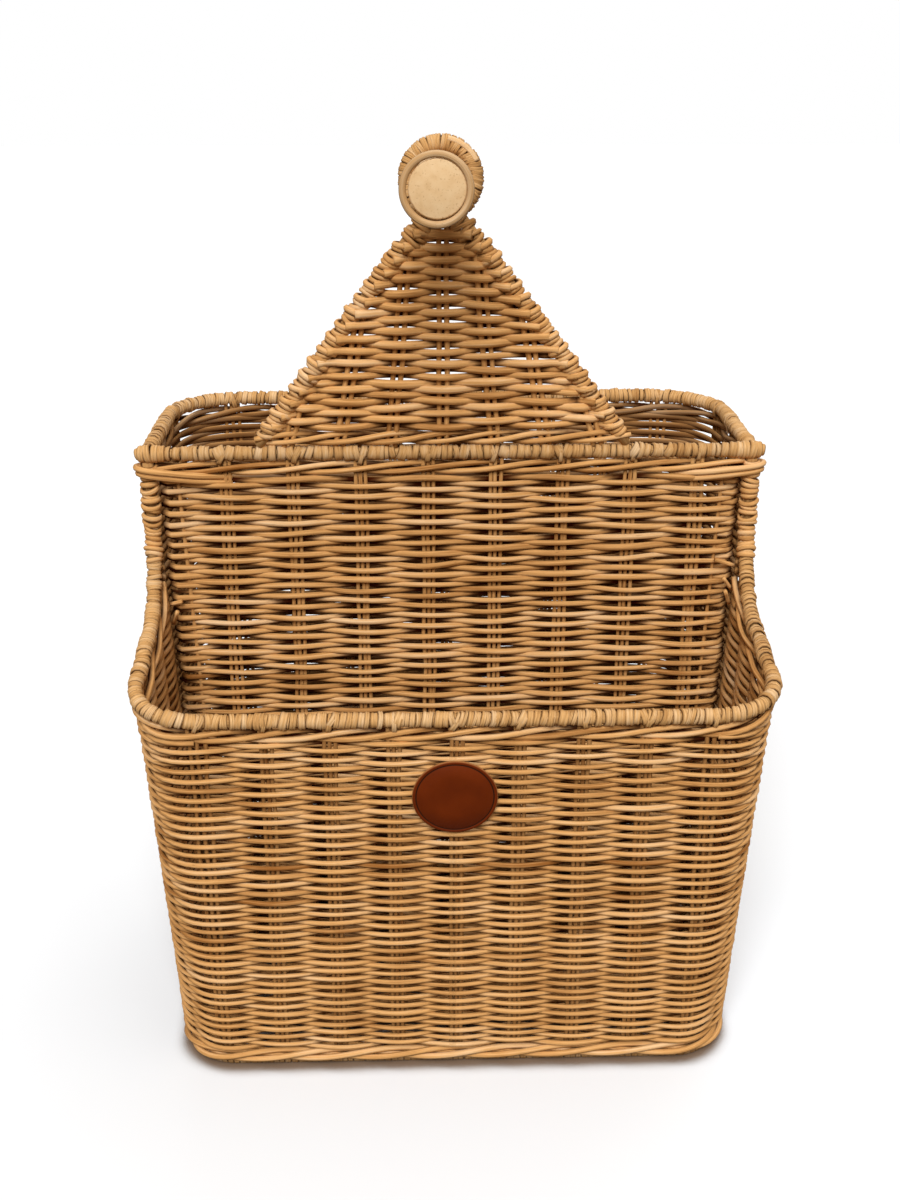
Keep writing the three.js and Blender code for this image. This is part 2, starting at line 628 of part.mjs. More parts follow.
// Roll peg: a turned rod held in a bound hoop, tipped up, with a cane collar round its front end
const pegSet = new THREE.Group();
pegSet.position.set(HOOP_SHIFT, 0, HOOP_Z);
pegSet.rotation.set(-PEG_TILT, 0, -PEG_TURN, 'ZYX');
gable.add(pegSet);
const hoop = new THREE.TorusGeometry(hoopRadius, HOOP_TUBE_D / 2, CANE_SIDES, ROUND_SIDES);
piece(pegSet, 'peg_hoop', hoop.rotateX(Math.PI / 2), bindingFinish);
const pegRadius = PEG_D / 2;
const peg = new THREE.LatheGeometry([
  [0, -PEG_REACH],
  [pegRadius - PEG_EDGE, -PEG_REACH],
  [pegRadius, -PEG_REACH + PEG_EDGE],
  [pegRadius, PEG_BACK - PEG_EDGE],
  [pegRadius - PEG_EDGE, PEG_BACK],
  [0, PEG_BACK],
].map(([r, y]) => new THREE.Vector2(r, y)), ROUND_SIDES);
piece(pegSet, 'roll_peg', peg, finish(0xdcb887, 0.55));
const collarRadius = pegRadius + SEAT + COLLAR_CANE_D / 2;
const collar = new THREE.TorusGeometry(collarRadius, COLLAR_CANE_D / 2, CANE_SIDES, ROUND_SIDES);
collar.rotateX(Math.PI / 2).translate(0, COLLAR_CANE_D / 2 - PEG_REACH, 0);
piece(pegSet, 'peg_collar', collar, finish(0xc08f58, 0.6));

// Leather badge: an oval laid on the front wall, leaning with it
const badgeShape = new THREE.Shape().absellipse(0, 0, BADGE_W / 2, BADGE_H / 2, 0, 2 * Math.PI);
const badge = new THREE.ExtrudeGeometry(badgeShape, {
  depth: BADGE_T,
  bevelEnabled: false,
  curveSegments: ROUND_SIDES / 2,
});
const badgePlace = wallPoint(0, BADGE_Z, WALL_T / 2 + SEAT);
badge.rotateX(Math.PI / 2 + Math.atan(FLARE)).translate(badgePlace.x, badgePlace.y, badgePlace.z);
piece(basket, 'leather_badge', badge, finish(0x5f2a10, 0.6));

// The origin lies on the floor under the middle of the basket's outline
const outline = new THREE.Box3().setFromObject(basket, true);
basket.position.y = -(outline.min.y + outline.max.y) / 2;
basket.position.x = -(outline.min.x + outline.max.x) / 2;

const part = new THREE.Group();
part.add(basket);

export default part;
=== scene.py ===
import math

import bmesh
import bpy
import numpy as np
from mathutils import Matrix, Vector


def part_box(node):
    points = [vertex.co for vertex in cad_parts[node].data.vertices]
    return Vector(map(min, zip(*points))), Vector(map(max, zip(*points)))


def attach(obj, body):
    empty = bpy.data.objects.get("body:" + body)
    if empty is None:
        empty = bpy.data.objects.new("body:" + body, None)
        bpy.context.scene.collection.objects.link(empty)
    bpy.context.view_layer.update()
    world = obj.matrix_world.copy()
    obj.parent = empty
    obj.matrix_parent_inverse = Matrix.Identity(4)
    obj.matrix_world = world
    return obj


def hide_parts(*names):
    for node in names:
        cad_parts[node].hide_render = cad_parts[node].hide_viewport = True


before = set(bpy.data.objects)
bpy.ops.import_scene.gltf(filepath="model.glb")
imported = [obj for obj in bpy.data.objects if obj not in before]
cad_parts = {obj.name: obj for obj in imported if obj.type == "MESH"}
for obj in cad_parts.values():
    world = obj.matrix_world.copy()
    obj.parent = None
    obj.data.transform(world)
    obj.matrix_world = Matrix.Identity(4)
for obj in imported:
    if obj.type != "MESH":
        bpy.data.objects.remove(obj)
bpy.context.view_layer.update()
chance = np.random.default_rng(41)


# Wall stakes
# Reeds set in threes, laid across the bottom and bent up at both ends to carry the wall.
# Peeled rattan reed, bent while wet and held only by what is woven round it.

half_width, half_depth, corner = 0.1683, 0.11435, 0.032
lean, side_lean, corner_kick = 0.043, 0.041, 0.042
foot_low, foot_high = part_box("foot_border")
middle_y = (foot_low.y + foot_high.y) / 2
flat_x, flat_y = half_width - corner, half_depth - corner
side_start = flat_x + corner * math.pi / 2
side_end = side_start + 2 * flat_y
back_start = side_end + corner * math.pi / 2
half_round = back_start + flat_x

rim_low, rim_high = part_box("divider_rim_cane")
divider_y = (rim_low.y + rim_high.y) / 2
divider_rim_z = (rim_low.z + rim_high.z) / 2
post_s = side_start + flat_y + divider_y - middle_y
front_rim_z = 0.245
side_rise, sweep_rise, sweep_run = 0.022, 0.053, 0.060


def lean_at(u):
    """The wall's lean at a place on half its outline: the front corners kick out more than the walls."""
    turn = np.clip((u - flat_x) / corner, 0, math.pi / 2)
    return lean + (side_lean - lean) * np.sin(turn) ** 2 + corner_kick * np.sin(2 * turn) ** 2


def on_wall(s, z, out=0.0):
    """Points of the wall: s along its outline from the front's middle, z up, out from its mid-surface."""
    s, z, out = np.broadcast_arrays(*(np.asarray(value, float) for value in (s, z, out)))
    s = (s + half_round) % (2 * half_round) - half_round
    u = np.abs(s)
    turn = np.clip(u, flat_x, side_start) - flat_x + np.clip(u, side_end, back_start) - side_end
    turn = turn / corner
    reach = corner + lean_at(u) * z + out
    x = np.minimum(u, flat_x) - np.maximum(u - back_start, 0) + reach * np.sin(turn)
    y = np.clip(u, side_start, side_end) - side_start - flat_y - reach * np.cos(turn)
    return np.stack([np.where(s < 0, -x, x), middle_y + y, z], -1)


def rim_line(drop, count=60):
    """Places s and heights z along the right half of the front rim, a set distance below it."""
    turn = np.linspace(0, math.pi / 2, count)
    near = np.stack([sweep_run * (1 - np.cos(turn)),
                     front_rim_z + side_rise + sweep_rise * (1 - np.sin(turn)),
                     -sweep_rise * np.cos(turn), -sweep_run * np.sin(turn)])
    run = post_s - flat_x - sweep_run
    share = np.linspace(0, 1, count)[1:]
    far = np.stack([sweep_run + run * share,
                    front_rim_z + side_rise * (1 - share * share * (3 - 2 * share)),
                    -side_rise * 6 * share * (1 - share) / run, -np.ones(count - 1)])
    t, z, across, down = np.concatenate([near, far], 1)
    size = np.hypot(across, down)
    return post_s - t - across / size * drop, z + down / size * drop


def wander(along, size):
    """Unevenness of hand work along a run, the same again after one whole round of the wall."""
    waves = chance.integers(3, 19, 3)
    starts = chance.uniform(0, 2 * math.pi, 3)
    angle = along[:, None] * waves * math.pi / half_round + starts
    return size * np.sin(angle).sum(1) / 2


def lengths(run):
    """How far along a run of points each of them lies."""
    return np.r_[0, np.cumsum(np.linalg.norm(np.diff(run, axis=0), axis=1))]


class Shade:
    """A shader socket. Sums and products of it add Math nodes, and node() adds any other kind."""

    def __init__(self, socket):
        self.socket = socket

    def node(self, kind, settings=None, sockets=None, output=0):
        tree = self.socket.id_data
        made = tree.nodes.new(kind)
        for key, value in (settings or {}).items():
            if key == "stops":
                ramp = made.color_ramp
                while len(ramp.elements) < len(value):
                    ramp.elements.new(1.0)
                for stop, (place, colour) in zip(ramp.elements, value):
                    stop.position, stop.color = place, colour
            else:
                setattr(made, key, value)
        for key, value in (sockets or {}).items():
            if isinstance(value, Shade):
                tree.links.new(value.socket, made.inputs[key])
            else:
                made.inputs[key].default_value = value
        return Shade(made.outputs[output])

    def maths(self, operation, first, second):
        return self.node("ShaderNodeMath", {"operation": operation}, {0: first, 1: second})

    def noise(self, at, scale, detail, rough=0.5):
        return self.node("ShaderNodeTexNoise",
                         sockets={"Vector": at, "Scale": scale, "Detail": detail, "Roughness": rough})

    def carried(self, name, output="Fac"):
        """A value that the mesh carries at its points."""
        return self.node("ShaderNodeAttribute", {"attribute_name": name}, output=output)

    def blend(self, share, first, second, how="MIX"):
        return self.node("ShaderNodeMix", {"data_type": "RGBA", "blend_type": how},
                         {0: share, 6: first, 7: second}, 2)

    def __add__(self, other):
        return self.maths("ADD", self, other)

    def __sub__(self, other):
        return self.maths("SUBTRACT", self, other)

    def __rsub__(self, other):
        return self.maths("SUBTRACT", other, self)

    def __mul__(self, other):
        return self.maths("MULTIPLY", self, other)

    __radd__ = __add__
    __rmul__ = __mul__

    def link(self, socket):
        self.socket.id_data.links.new(self.socket, socket)

    def feed(self, name):
        """Links this socket to an input of the material's main shader."""
        self.link(self.socket.id_data.nodes["Principled BSDF"].inputs[name])

    def relief(self, strength, distance):
        """Makes this socket the height of a fine relief."""
        self.node("ShaderNodeBump", sockets={"Strength": strength, "Distance": distance, "Height": self}
                  ).feed("Normal")


def new_finish(name, shine, rough=0.5):
    """A new material and a starting socket in it."""
    material = bpy.data.materials.new(name)
    material.use_nodes = True
    shader = material.node_tree.nodes["Principled BSDF"]
    shader.inputs["Specular IOR Level"].default_value = shine
    shader.inputs["Roughness"].default_value = rough
    return material, Shade(shader.inputs["Base Color"])


def rattan(name, brown, honey, pale, dull, ribs):
    """Rattan, brown to pale from reed to reed, streaked along its length, with painted shade in its hollows.
    """
    material, start = new_finish(name, shine=0.04)
    tone, hollow = start.carried("tone"), start.carried("hollow")
    grain = start.carried("grain", "Vector")
    place = start.node("ShaderNodeTexCoord", output="Object")
    fibre = start.node("ShaderNodeMapping", sockets={"Vector": grain, "Scale": (0.35, 1.3, 1.3)})
    streak = start.noise(fibre, scale=1.6, detail=5.0, rough=0.62)
    patch = start.noise(place, scale=26.0, detail=3.0, rough=0.55)
    spot = start.noise(grain, scale=2.3, detail=2.0, rough=0.7)
    mix = tone * 0.6 + streak * 0.85 + patch * 0.42 - 0.43
    colour = start.node("ShaderNodeValToRGB",
                        {"stops": [(0.16, brown), (0.5, honey), (0.86, pale)]}, {"Fac": mix})
    fleck = start.node("ShaderNodeMapRange", {"interpolation_type": "SMOOTHSTEP"},
                       {"Value": spot, "From Min": 0.64, "From Max": 0.78, "To Max": 0.55})
    flecked = start.blend(fleck, colour, tuple(0.45 * part for part in brown[:3]) + (1,))
    # Painted shade: a dark red-brown multiplied into the colour as far as the mesh marks a point as shaded.
    painted_shade = (0.065, 0.015, 0.002, 1)
    start.blend(hollow, flecked, painted_shade, "MULTIPLY").feed("Base Color")
    (dull + 0.22 * streak + 0.5 * hollow - 0.1).feed("Roughness")
    streak.relief(strength=ribs, distance=0.0005)
    return material


reed_finish = rattan("reed", brown=(0.30, 0.115, 0.025, 1), honey=(0.70, 0.378, 0.135, 1),
                     pale=(0.86, 0.60, 0.345, 1), dull=0.5, ribs=0.8)
stake_finish = rattan("stake_reed", brown=(0.28, 0.10, 0.02, 1), honey=(0.64, 0.33, 0.11, 1),
                      pale=(0.80, 0.48, 0.20, 1), dull=0.55, ribs=0.4)


def new_piece(name, mesh, finish, slot, *stood_for):
    """Puts a finished mesh in the scene as a piece of the basket, in place of its CAD nodes."""
    mesh.name = name
    mesh.materials.clear()
    mesh.materials.append(finish)
    mesh.shade_smooth()
    made = bpy.data.objects.new(name, mesh)
    bpy.context.scene.collection.objects.link(made)
    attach(made, "root")
    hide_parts(*stood_for)
    return made


grain_length, grain_far = 0.02, 900


def reeds(runs, thick, closed=False, sides=6, uneven=0.035, depth=None, inside=None, face=None, shaded=0.0,
          fuller=None):
    """Round reeds along runs of points, in one mesh, each with its own tone and its grain along it.

    depth gives how far points lie out from the middle of the woven sheet. Painted shade darkens what lies
    sunk below the face of the sheet that it looks out of, and inside gives painted shade on the sheet's back.
    stained is painted shade all over, and fuller gives how many times as thick the reeds are at points.
    """
    knot_gap, thinnest, thickest = 0.12, 0.72, 1.25
    tone_middle, tone_spread, tone_drift = 0.47, 0.10, 0.11
    edgewise, shade_start, shade_span = 0.85, 0.67, 0.44
    curve = bpy.data.curves.new("reeds", "CURVE")
    curve.dimensions = "3D"
    curve.bevel_depth = thick / 2
    curve.bevel_resolution = sides // 2 - 2
    tones, grains = [], []
    ring = np.arange(sides) * 2 * math.pi / sides
    for run in runs:
        run = np.asarray(run, float)
        along = lengths(run)
        knots = max(3, int(along[-1] / knot_gap) + 1)
        marks = np.linspace(0, along[-1], knots)
        swell = 1 + uneven * chance.normal() + np.interp(along, marks, chance.normal(0, uneven, knots))
        tone = tone_middle + tone_spread * chance.normal() + chance.normal(0, tone_drift, knots)
        tone = np.clip(tone, 0, 1)
        if closed:
            tone[-1] = tone[0]
            swell[-1] = swell[0]
        spline = curve.splines.new("POLY")
        spline.points.add(len(run) - 1)
        spline.points.foreach_set("co", np.c_[run, np.ones(len(run))].ravel())
        swell = np.clip(swell, thinnest, thickest) * (fuller(run) if fuller else 1)
        spline.points.foreach_set("radius", swell)
        spline.use_cyclic_u = closed
        tones.append(np.repeat(np.interp(along, marks, tone), sides))
        length = np.repeat(along / grain_length + chance.uniform(0, grain_far), sides)
        grains.append(np.stack([length, np.tile(np.cos(ring), len(run)),
                                np.tile(np.sin(ring), len(run))], 1))
    maker = bpy.data.objects.new("reeds", curve)
    mesh = bpy.data.meshes.new_from_object(maker)
    bpy.data.objects.remove(maker)
    bpy.data.curves.remove(curve)
    mesh.attributes.new("tone", "FLOAT", "POINT").data.foreach_set("value", np.concatenate(tones))
    mesh.attributes.new("grain", "FLOAT_VECTOR", "POINT").data.foreach_set(
        "vector", np.concatenate(grains).ravel())
    # Painted shade: how far each point is darkened, from how deep it lies below the sheet's face.
    painted_shade = np.full(len(mesh.vertices), shaded)
    if depth:
        points = np.empty(len(mesh.vertices) * 3)
        mesh.vertices.foreach_get("co", points)
        points = points.reshape(-1, 3)
        out = depth(points)
        middle = np.repeat(depth(np.concatenate(runs)), sides)
        facing = np.clip((out - middle) / (thick / 2), -1, 1)
        face = face or np.quantile(np.abs(out), 0.98)
        sunk = 1 - (facing * out + edgewise * (1 - np.abs(facing)) * np.abs(out)) / face
        painted_shade = np.clip((sunk - shade_start) / shade_span, 0, 1)
        painted_shade = np.maximum(shaded, painted_shade * painted_shade * (3 - 2 * painted_shade))
        if inside:
            painted_shade = np.maximum(painted_shade, inside(points) * np.clip(-facing, 0, 1))
    mesh.attributes.new("hollow", "FLOAT", "POINT").data.foreach_set("value", painted_shade)
    work = bmesh.new()
    work.from_mesh(mesh)
    bmesh.ops.holes_fill(work, edges=[edge for edge in work.edges if edge.is_boundary])
    work.to_mesh(mesh)
    work.free()
    return mesh


stakes_round, stakes_front = 30, 9
stakes_side = stakes_round // 2 - stakes_front
spacing = 2 * half_round / stakes_round
stake_thick, stake_apart = 0.0026, 0.0030
three_places = (-stake_apart, 0, stake_apart)
lower_layer, upper_layer, bend = 0.0089, 0.0125, 0.012
under_rim = 0.004
first_side = (stakes_front + 1) / 2


def stake_top(s):
    """Height of the rim's underside above a place on the outline."""
    u = abs((s + half_round) % (2 * half_round) - half_round)
    if u > post_s:
        return divider_rim_z - under_rim
    line_s, line_z = rim_line(0)
    return float(np.interp(u, line_s[::-1], line_z[::-1])) - under_rim


def upright(s, layer):
    """One leg of a stake, from the rim down to the bottom and in under the weave."""
    heights = np.linspace(stake_top(s), layer + bend, 14)
    leg = on_wall(s + wander(heights * 3, 0.0005), heights, wander(heights * 3, 0.0002))
    turn = np.linspace(0, math.pi / 2, 6)[1:]
    foot = on_wall(s, layer + bend * (1 - np.sin(turn)), -bend * (1 - np.cos(turn)))
    return np.concatenate([leg, foot])


stake_runs = []
for number in range(stakes_front):
    for place in three_places:
        s = (number - (stakes_front - 1) / 2) * spacing + place
        behind = (-half_round if s < 0 else half_round) - s
        stake_runs.append(np.concatenate([upright(s, lower_layer), upright(behind, lower_layer)[::-1]]))
for number in range(stakes_side):
    for place in three_places:
        s = (number + first_side) * spacing + place
        stake_runs.append(np.concatenate([upright(s, upper_layer), upright(-s, upper_layer)[::-1]]))
# The stakes carry painted shade all over, as they lie within the weave.
new_piece("wall_stakes", reeds(stake_runs, stake_thick, shaded=0.5), stake_finish, "reed",
          *(f"front_back_stake_{i + 1}" for i in range(stakes_front)),
          *(f"side_to_side_stake_{i + 1}" for i in range(stakes_side)))


# Bottom
# Weavers worked over and under the stakes that run from front to back, close beside each other.
# They stop short of the foot, and leave room where the stakes from side to side cross over.

weaver = 0.0030
swing = stake_thick / 2 + weaver / 2 - 0.0003
row_rise, bottom_short, bottom_half = 0.00285, 0.0040, 0.1095
stake_room = 0.0058
bottom_z = lower_layer + 0.0002


def over_under(place):
    """A weaver's swing at a place counted in stakes: +1 in front of a stake, -1 behind the next."""
    return np.cos(math.pi * place)


side_stakes = [on_wall((i + first_side) * spacing, 0.0).tolist()[1] for i in range(stakes_side)]
bottom_runs = []
for number, y in enumerate(np.arange(-bottom_half, bottom_half + 0.0001, row_rise)):
    if min(abs(middle_y + y - stake) for stake in side_stakes) < stake_room:
        continue
    short = max(0.0, abs(y) - flat_y)
    half = flat_x - bottom_short + math.sqrt(max(0.0, (corner - bottom_short) ** 2 - short ** 2))
    x = np.linspace(-half, half, 76)
    lift = over_under(x / spacing + number) * swing
    bottom_runs.append(np.stack([x, middle_y + y + wander(x, 0.0003), bottom_z + lift], 1))
new_piece("bottom_weave", reeds(bottom_runs, weaver), reed_finish, "reed", "base_mat")


# Foot
# The ends of the bottom are turned into a border that the basket stands on, lashed over with peel.
# A wale, three reeds twisted together round the stakes, locks the border to the wall above it.

peel_finish = rattan("peel", brown=(0.32, 0.13, 0.032, 1), honey=(0.69, 0.395, 0.15, 1),
                     pale=(0.88, 0.63, 0.37, 1), dull=0.45, ribs=0.9)
whole_round = np.linspace(-half_round, half_round, 721)
foot_z, foot_height, foot_half, foot_in = 0.0034, 0.0034, 0.0040, 0.0036
foot_core, foot_wale_z, foot_skew, foot_lap = 0.0056, 0.0085, 0.08, 1.02
peel_band = [(0.76, -0.5), (0.92, -0.43), (1.0, -0.22), (0.945, 0.03), (0.99, 0.26), (0.915, 0.44),
             (0.76, 0.5)]


def stations(line, gaps):
    """Places along a run of points, set gaps apart, the direction of travel and how far along each is."""
    along = lengths(line)
    marks = np.cumsum(gaps)
    marks = marks[marks < along[-1]]
    step = 0.0008
    at = [np.stack([np.interp(marks + move, along, part) for part in line.T], 1)
          for move in (-step, 0, step)]
    way = at[2] - at[0]
    return at[1], way / np.linalg.norm(way, axis=1)[:, None], marks


def seated(point, way, width, deep, high, slant=0.0, skew=0.0):
    """Where a turn of binding sits: square to the way it runs, sized, then slanted and skewed."""
    way = Vector(way).normalized()
    side = way.cross(Vector((0, 0, 1)))
    if side.length < 0.2:
        side = way.cross(Vector((0, 1, 0)))
    side.normalize()
    rise = side.cross(way)
    axes = Matrix((side, rise, way)).transposed().to_4x4()
    turned = Matrix.Rotation(slant, 4, "X") @ Matrix.Rotation(skew, 4, "Y")
    return Matrix.Translation(Vector(point)) @ axes @ turned @ Matrix.Diagonal((deep, high, width, 1))


def spin_round(work, points, axis, steps):
    """Joins points of a bmesh into a profile and spins it once round an axis."""
    for first, second in zip(points, points[1:]):
        work.edges.new((first, second))
    bmesh.ops.spin(work, geom=work.verts[:] + work.edges[:], cent=(0, 0, 0), axis=axis,
                   angle=2 * math.pi, steps=steps, use_merge=True)
    bmesh.ops.remove_doubles(work, verts=work.verts, dist=1e-6)
    bmesh.ops.recalc_face_normals(work, faces=work.faces)


def mesh_of(work, name="piece"):
    """The mesh that a bmesh holds, which is then let go."""
    mesh = bpy.data.meshes.new(name)
    work.to_mesh(mesh)
    work.free()
    return mesh


def binding(turns, section, steps=10, painted_shade=0.0):
    """Closed turns of one section, spun once and set in each of the given places, in one mesh.

    The section's points that reach less far out get painted shade, and stain gives the least of it that any
    point has.
    """
    deepest, unshaded_reach, reach_span = 0.92, 0.97, 0.12
    tone_middle, tone_spread = 0.55, 0.11
    work = bmesh.new()
    tone = work.verts.layers.float.new("tone")
    grain = work.verts.layers.float_vector.new("grain")
    hollow = work.verts.layers.float.new("hollow")
    points = []
    for reach, across in section:
        points.append(work.verts.new((reach, 0, across)))
        points[-1][hollow] = min(deepest, max(painted_shade, (unshaded_reach - reach) / reach_span))
    spin_round(work, points + points[:1], (0, 0, 1), steps)
    pattern = work.verts[:] + work.edges[:] + work.faces[:]
    for vert in work.verts:
        vert[grain] = (0.6 * vert.co.x, 3.2 * vert.co.z, 0.3 * vert.co.y)
    first_verts = work.verts[:]
    for place in turns:
        copied = bmesh.ops.duplicate(work, geom=pattern)["geom"]
        verts = [part for part in copied if isinstance(part, bmesh.types.BMVert)]
        shade = float(np.clip(chance.normal(tone_middle, tone_spread), 0, 1))
        shift = chance.uniform(0, grain_far)
        for vert in verts:
            vert[tone] = shade
            vert[grain] = vert[grain] + Vector((0, shift, 0))
        bmesh.ops.transform(work, matrix=place, verts=verts)
    bmesh.ops.delete(work, geom=first_verts, context="VERTS")
    return mesh_of(work)


def wale(line, turn, deep=0.0029, high=0.0027, closed=False):
    """Three reeds twisted along a line; turn is the length of one whole twist."""
    way = np.gradient(line, axis=0)
    if closed:
        line = line[:-1]
        way = np.roll(line, -1, 0) - np.roll(line, 1, 0)
    way /= np.linalg.norm(way, axis=1)[:, None]
    side = np.cross(way, (0, 0, 1))
    side /= np.linalg.norm(side, axis=1)[:, None]
    rise = np.cross(side, way)
    along = lengths(line)
    if closed:
        whole = along[-1] + np.linalg.norm(line[0] - line[-1])
        turn = whole / round(whole / turn)
    runs = []
    for strand in range(3):
        angle = 2 * math.pi * (along / turn + strand / 3) + wander(along, 0.0 if closed else 0.15)
        runs.append(line + side * (deep * np.cos(angle))[:, None] + rise * (high * np.sin(angle))[:, None])
    return runs


foot_line = on_wall(whole_round, foot_z, -foot_in)
foot_gaps = chance.uniform(0.0031, 0.0046, 400)
points, ways, marks = stations(foot_line, foot_gaps)
foot_turns = [seated(point, way, gap * foot_lap, foot_half, foot_height, chance.normal(0, 0.05), foot_skew)
              for point, way, gap in zip(points, ways, foot_gaps)]
# The foot lashing carries painted shade all over, for the shadow of the wale above it.
new_piece("foot_lashing", binding(foot_turns, peel_band, painted_shade=0.45), peel_finish, "peel", "foot_border")
new_piece("foot_core", reeds([foot_line[:-1]], foot_core, closed=True, sides=8), reed_finish, "reed")
wale_turn, wale_reed = 3 * spacing, 0.0036
foot_wale_line = on_wall(np.linspace(-half_round, half_round, 241), foot_wale_z)
new_piece("foot_wale", reeds(wale(foot_wale_line, wale_turn, closed=True), wale_reed, closed=True),
          reed_finish, "reed", "foot_waling")


# Woven wall
# One weaver to a row, over one group of stakes and under the next, the rows beaten down close.
# Rows above the front rim run from one side rim round the back to the other.

weave_foot_z = 0.0138
front_rows, rear_rows = 72, 41
low_rise, rise_gain, rear_rise, rear_weaver = 0.00283, 0.00185, 0.00296, 0.0033
row_z = weave_foot_z + low_rise / rise_gain * (np.exp(rise_gain * (np.arange(front_rows) + 0.5)) - 1)
row_z = np.concatenate([row_z, row_z[-1] + rear_rise * np.arange(1, rear_rows + 1)])
points_apart, back_flatter = 8, 0.35


def wall_row(s, z, row):
    """A weaver's run at a height, in front of every other group of stakes."""
    u = np.abs((s + half_round) % (2 * half_round) - half_round)
    flatter = 1 - back_flatter * np.clip((u - side_end) / corner, 0, 1)
    out = over_under(s / spacing + row) * (swing * flatter + wander(s, 0.0002))
    return on_wall(s, z + wander(s, 0.0004), out)


def back_fuller(points):
    """The weavers lie fuller along the back wall, except under its rim, and finer near the foot."""
    back = np.clip((points[:, 1] - middle_y - flat_y) / corner, 0, 1)
    fine = np.interp(points[:, 2], (0.0, 0.16), (0.93, 1.0))
    full = np.interp(points[:, 2], (0.29, 0.33), (1.4, 1.08))
    return fine * (1 - back) + full * back


def inner_shade(points):
    """Painted shade on the wall's inside, more behind the divider than in front of it."""
    return np.interp(points[:, 1], (divider_y - 0.01, divider_y + 0.03), (0.28, 0.76))


def wall_depth(points):
    """How far points lie outside the wall's mid-surface."""
    side = np.abs(points[:, :2] - (0, middle_y)) - (flat_x, flat_y)
    ahead = middle_y - flat_y - points[:, 1]
    turn = np.arctan2(np.maximum(side[:, 0], 0), np.maximum(ahead, 0))
    u = np.where(ahead > 0, flat_x + corner * turn, side_start - ahead)
    return np.hypot(*np.maximum(side, 0).T) + np.minimum(side.max(1), 0) - corner - lean_at(u) * points[:, 2]


loop_s = np.arange(stakes_round * points_apart) * spacing / points_apart
rows = [wall_row(loop_s, row_z[row], row) for row in range(front_rows)]
low_rows = front_rows // 2
for name, part, stood_for in (
        ("lower_wall_weave", rows[:low_rows], ("front_weave", "front_left_corner", "front_right_corner")),
        ("upper_wall_weave", rows[low_rows:], ("left_weave", "right_weave"))):
    new_piece(name, reeds(part, weaver, closed=True, sides=8, uneven=0.05, depth=wall_depth,
                          inside=inner_shade, fuller=back_fuller), reed_finish, "reed", *stood_for)

rim_to_rows, row_clear = 0.0125, 0.002
hang_s, hang_z = rim_line(rim_to_rows)
keep = hang_s < post_s - row_clear
rear_runs = []
for row in range(front_rows, front_rows + rear_rows):
    z = row_z[row]
    start = float(np.interp(z, hang_z[keep][::-1], hang_s[keep][::-1]))
    count = int((half_round - start) * 2 / spacing * points_apart)
    rear_runs.append(wall_row(np.linspace(start, 2 * half_round - start, count), z, row))
new_piece("rear_wall_weave", reeds(rear_runs, rear_weaver, sides=8, depth=wall_depth, inside=inner_shade,
                                   fuller=back_fuller),
          reed_finish, "reed", "back_weave", "back_left_corner", "back_right_corner")


# Waling under the rims
# Three reeds twisted round the stakes close under each rim, which lock the last row of the weave.
# The front wale climbs with the side rims to the divider, the rear one runs level round the back.

rim_to_wale, wale_clear = 0.0092, 0.001
wale_s, wale_z = rim_line(rim_to_wale)
keep = wale_s < post_s - wale_clear
wale_s, wale_z = wale_s[keep], wale_z[keep]
front_half, wale_step, post_clear = 0.137, 0.0045, 0.005
front_line = np.concatenate([
    on_wall(-wale_s, wale_z), on_wall(np.linspace(-front_half, front_half, 90), front_rim_z - rim_to_wale),
    on_wall(wale_s[::-1], wale_z[::-1])])
front_line = stations(front_line, np.full(200, wale_step))[0]
new_piece("front_wale", reeds(wale(front_line, wale_turn), wale_reed, depth=wall_depth), reed_finish, "reed",
          "front_waling")
rear_start, rear_end = post_s + post_clear, 2 * half_round - post_s - post_clear
rear_line = on_wall(np.linspace(rear_start, rear_end, 160), divider_rim_z - rim_to_wale)
new_piece("rear_wale", reeds(wale(rear_line, wale_turn), wale_reed, depth=wall_depth, inside=inner_shade),
          reed_finish, "reed", "rear_waling")


# Rims
# A bent cane, bound all along with flat peel from the outside of the rattan.
# The binding opens a little at each group of stakes, where it also takes in the wale below.

rim_cane, rim_bound = 0.0066, 0.0047
cane_finish = rattan("cane", brown=(0.22, 0.09, 0.025, 1), honey=(0.46, 0.25, 0.09, 1),
                     pale=(0.62, 0.38, 0.16, 1), dull=0.5, ribs=0.3)
rim_s, rim_z = rim_line(0)
post_top, rim_flat, rim_over = divider_rim_z - 0.005, 0.135, 0.0035
rim_swell, swell_top, swell_span = 0.0025, 0.345, 0.11
rim_out = rim_swell * np.sin(math.pi * np.clip((swell_top - rim_z) / swell_span, 0, 1))
front_rim_line = np.concatenate([
    on_wall(-rim_s, rim_z, rim_out), on_wall(np.linspace(-rim_flat, rim_flat, 120), front_rim_z, rim_out[-1]),
    on_wall(rim_s[::-1], rim_z[::-1], rim_out[::-1])])
post_head = on_wall([-post_s, post_s], post_top)
new_piece("front_rim_core", reeds([np.concatenate([post_head[:1], front_rim_line, post_head[1:]])],
                                  rim_cane, sides=10), cane_finish, "cane", "front_rim_cane")
rear_rim_line = on_wall(np.linspace(post_s - rim_over, 2 * half_round - post_s + rim_over, 240),
                        divider_rim_z)
rear_bound_line = on_wall(np.linspace(rear_start, rear_end, 240), divider_rim_z)
new_piece("rear_rim_core", reeds([rear_rim_line], rim_cane, sides=10), cane_finish, "cane",
          "rear_rim_cane")


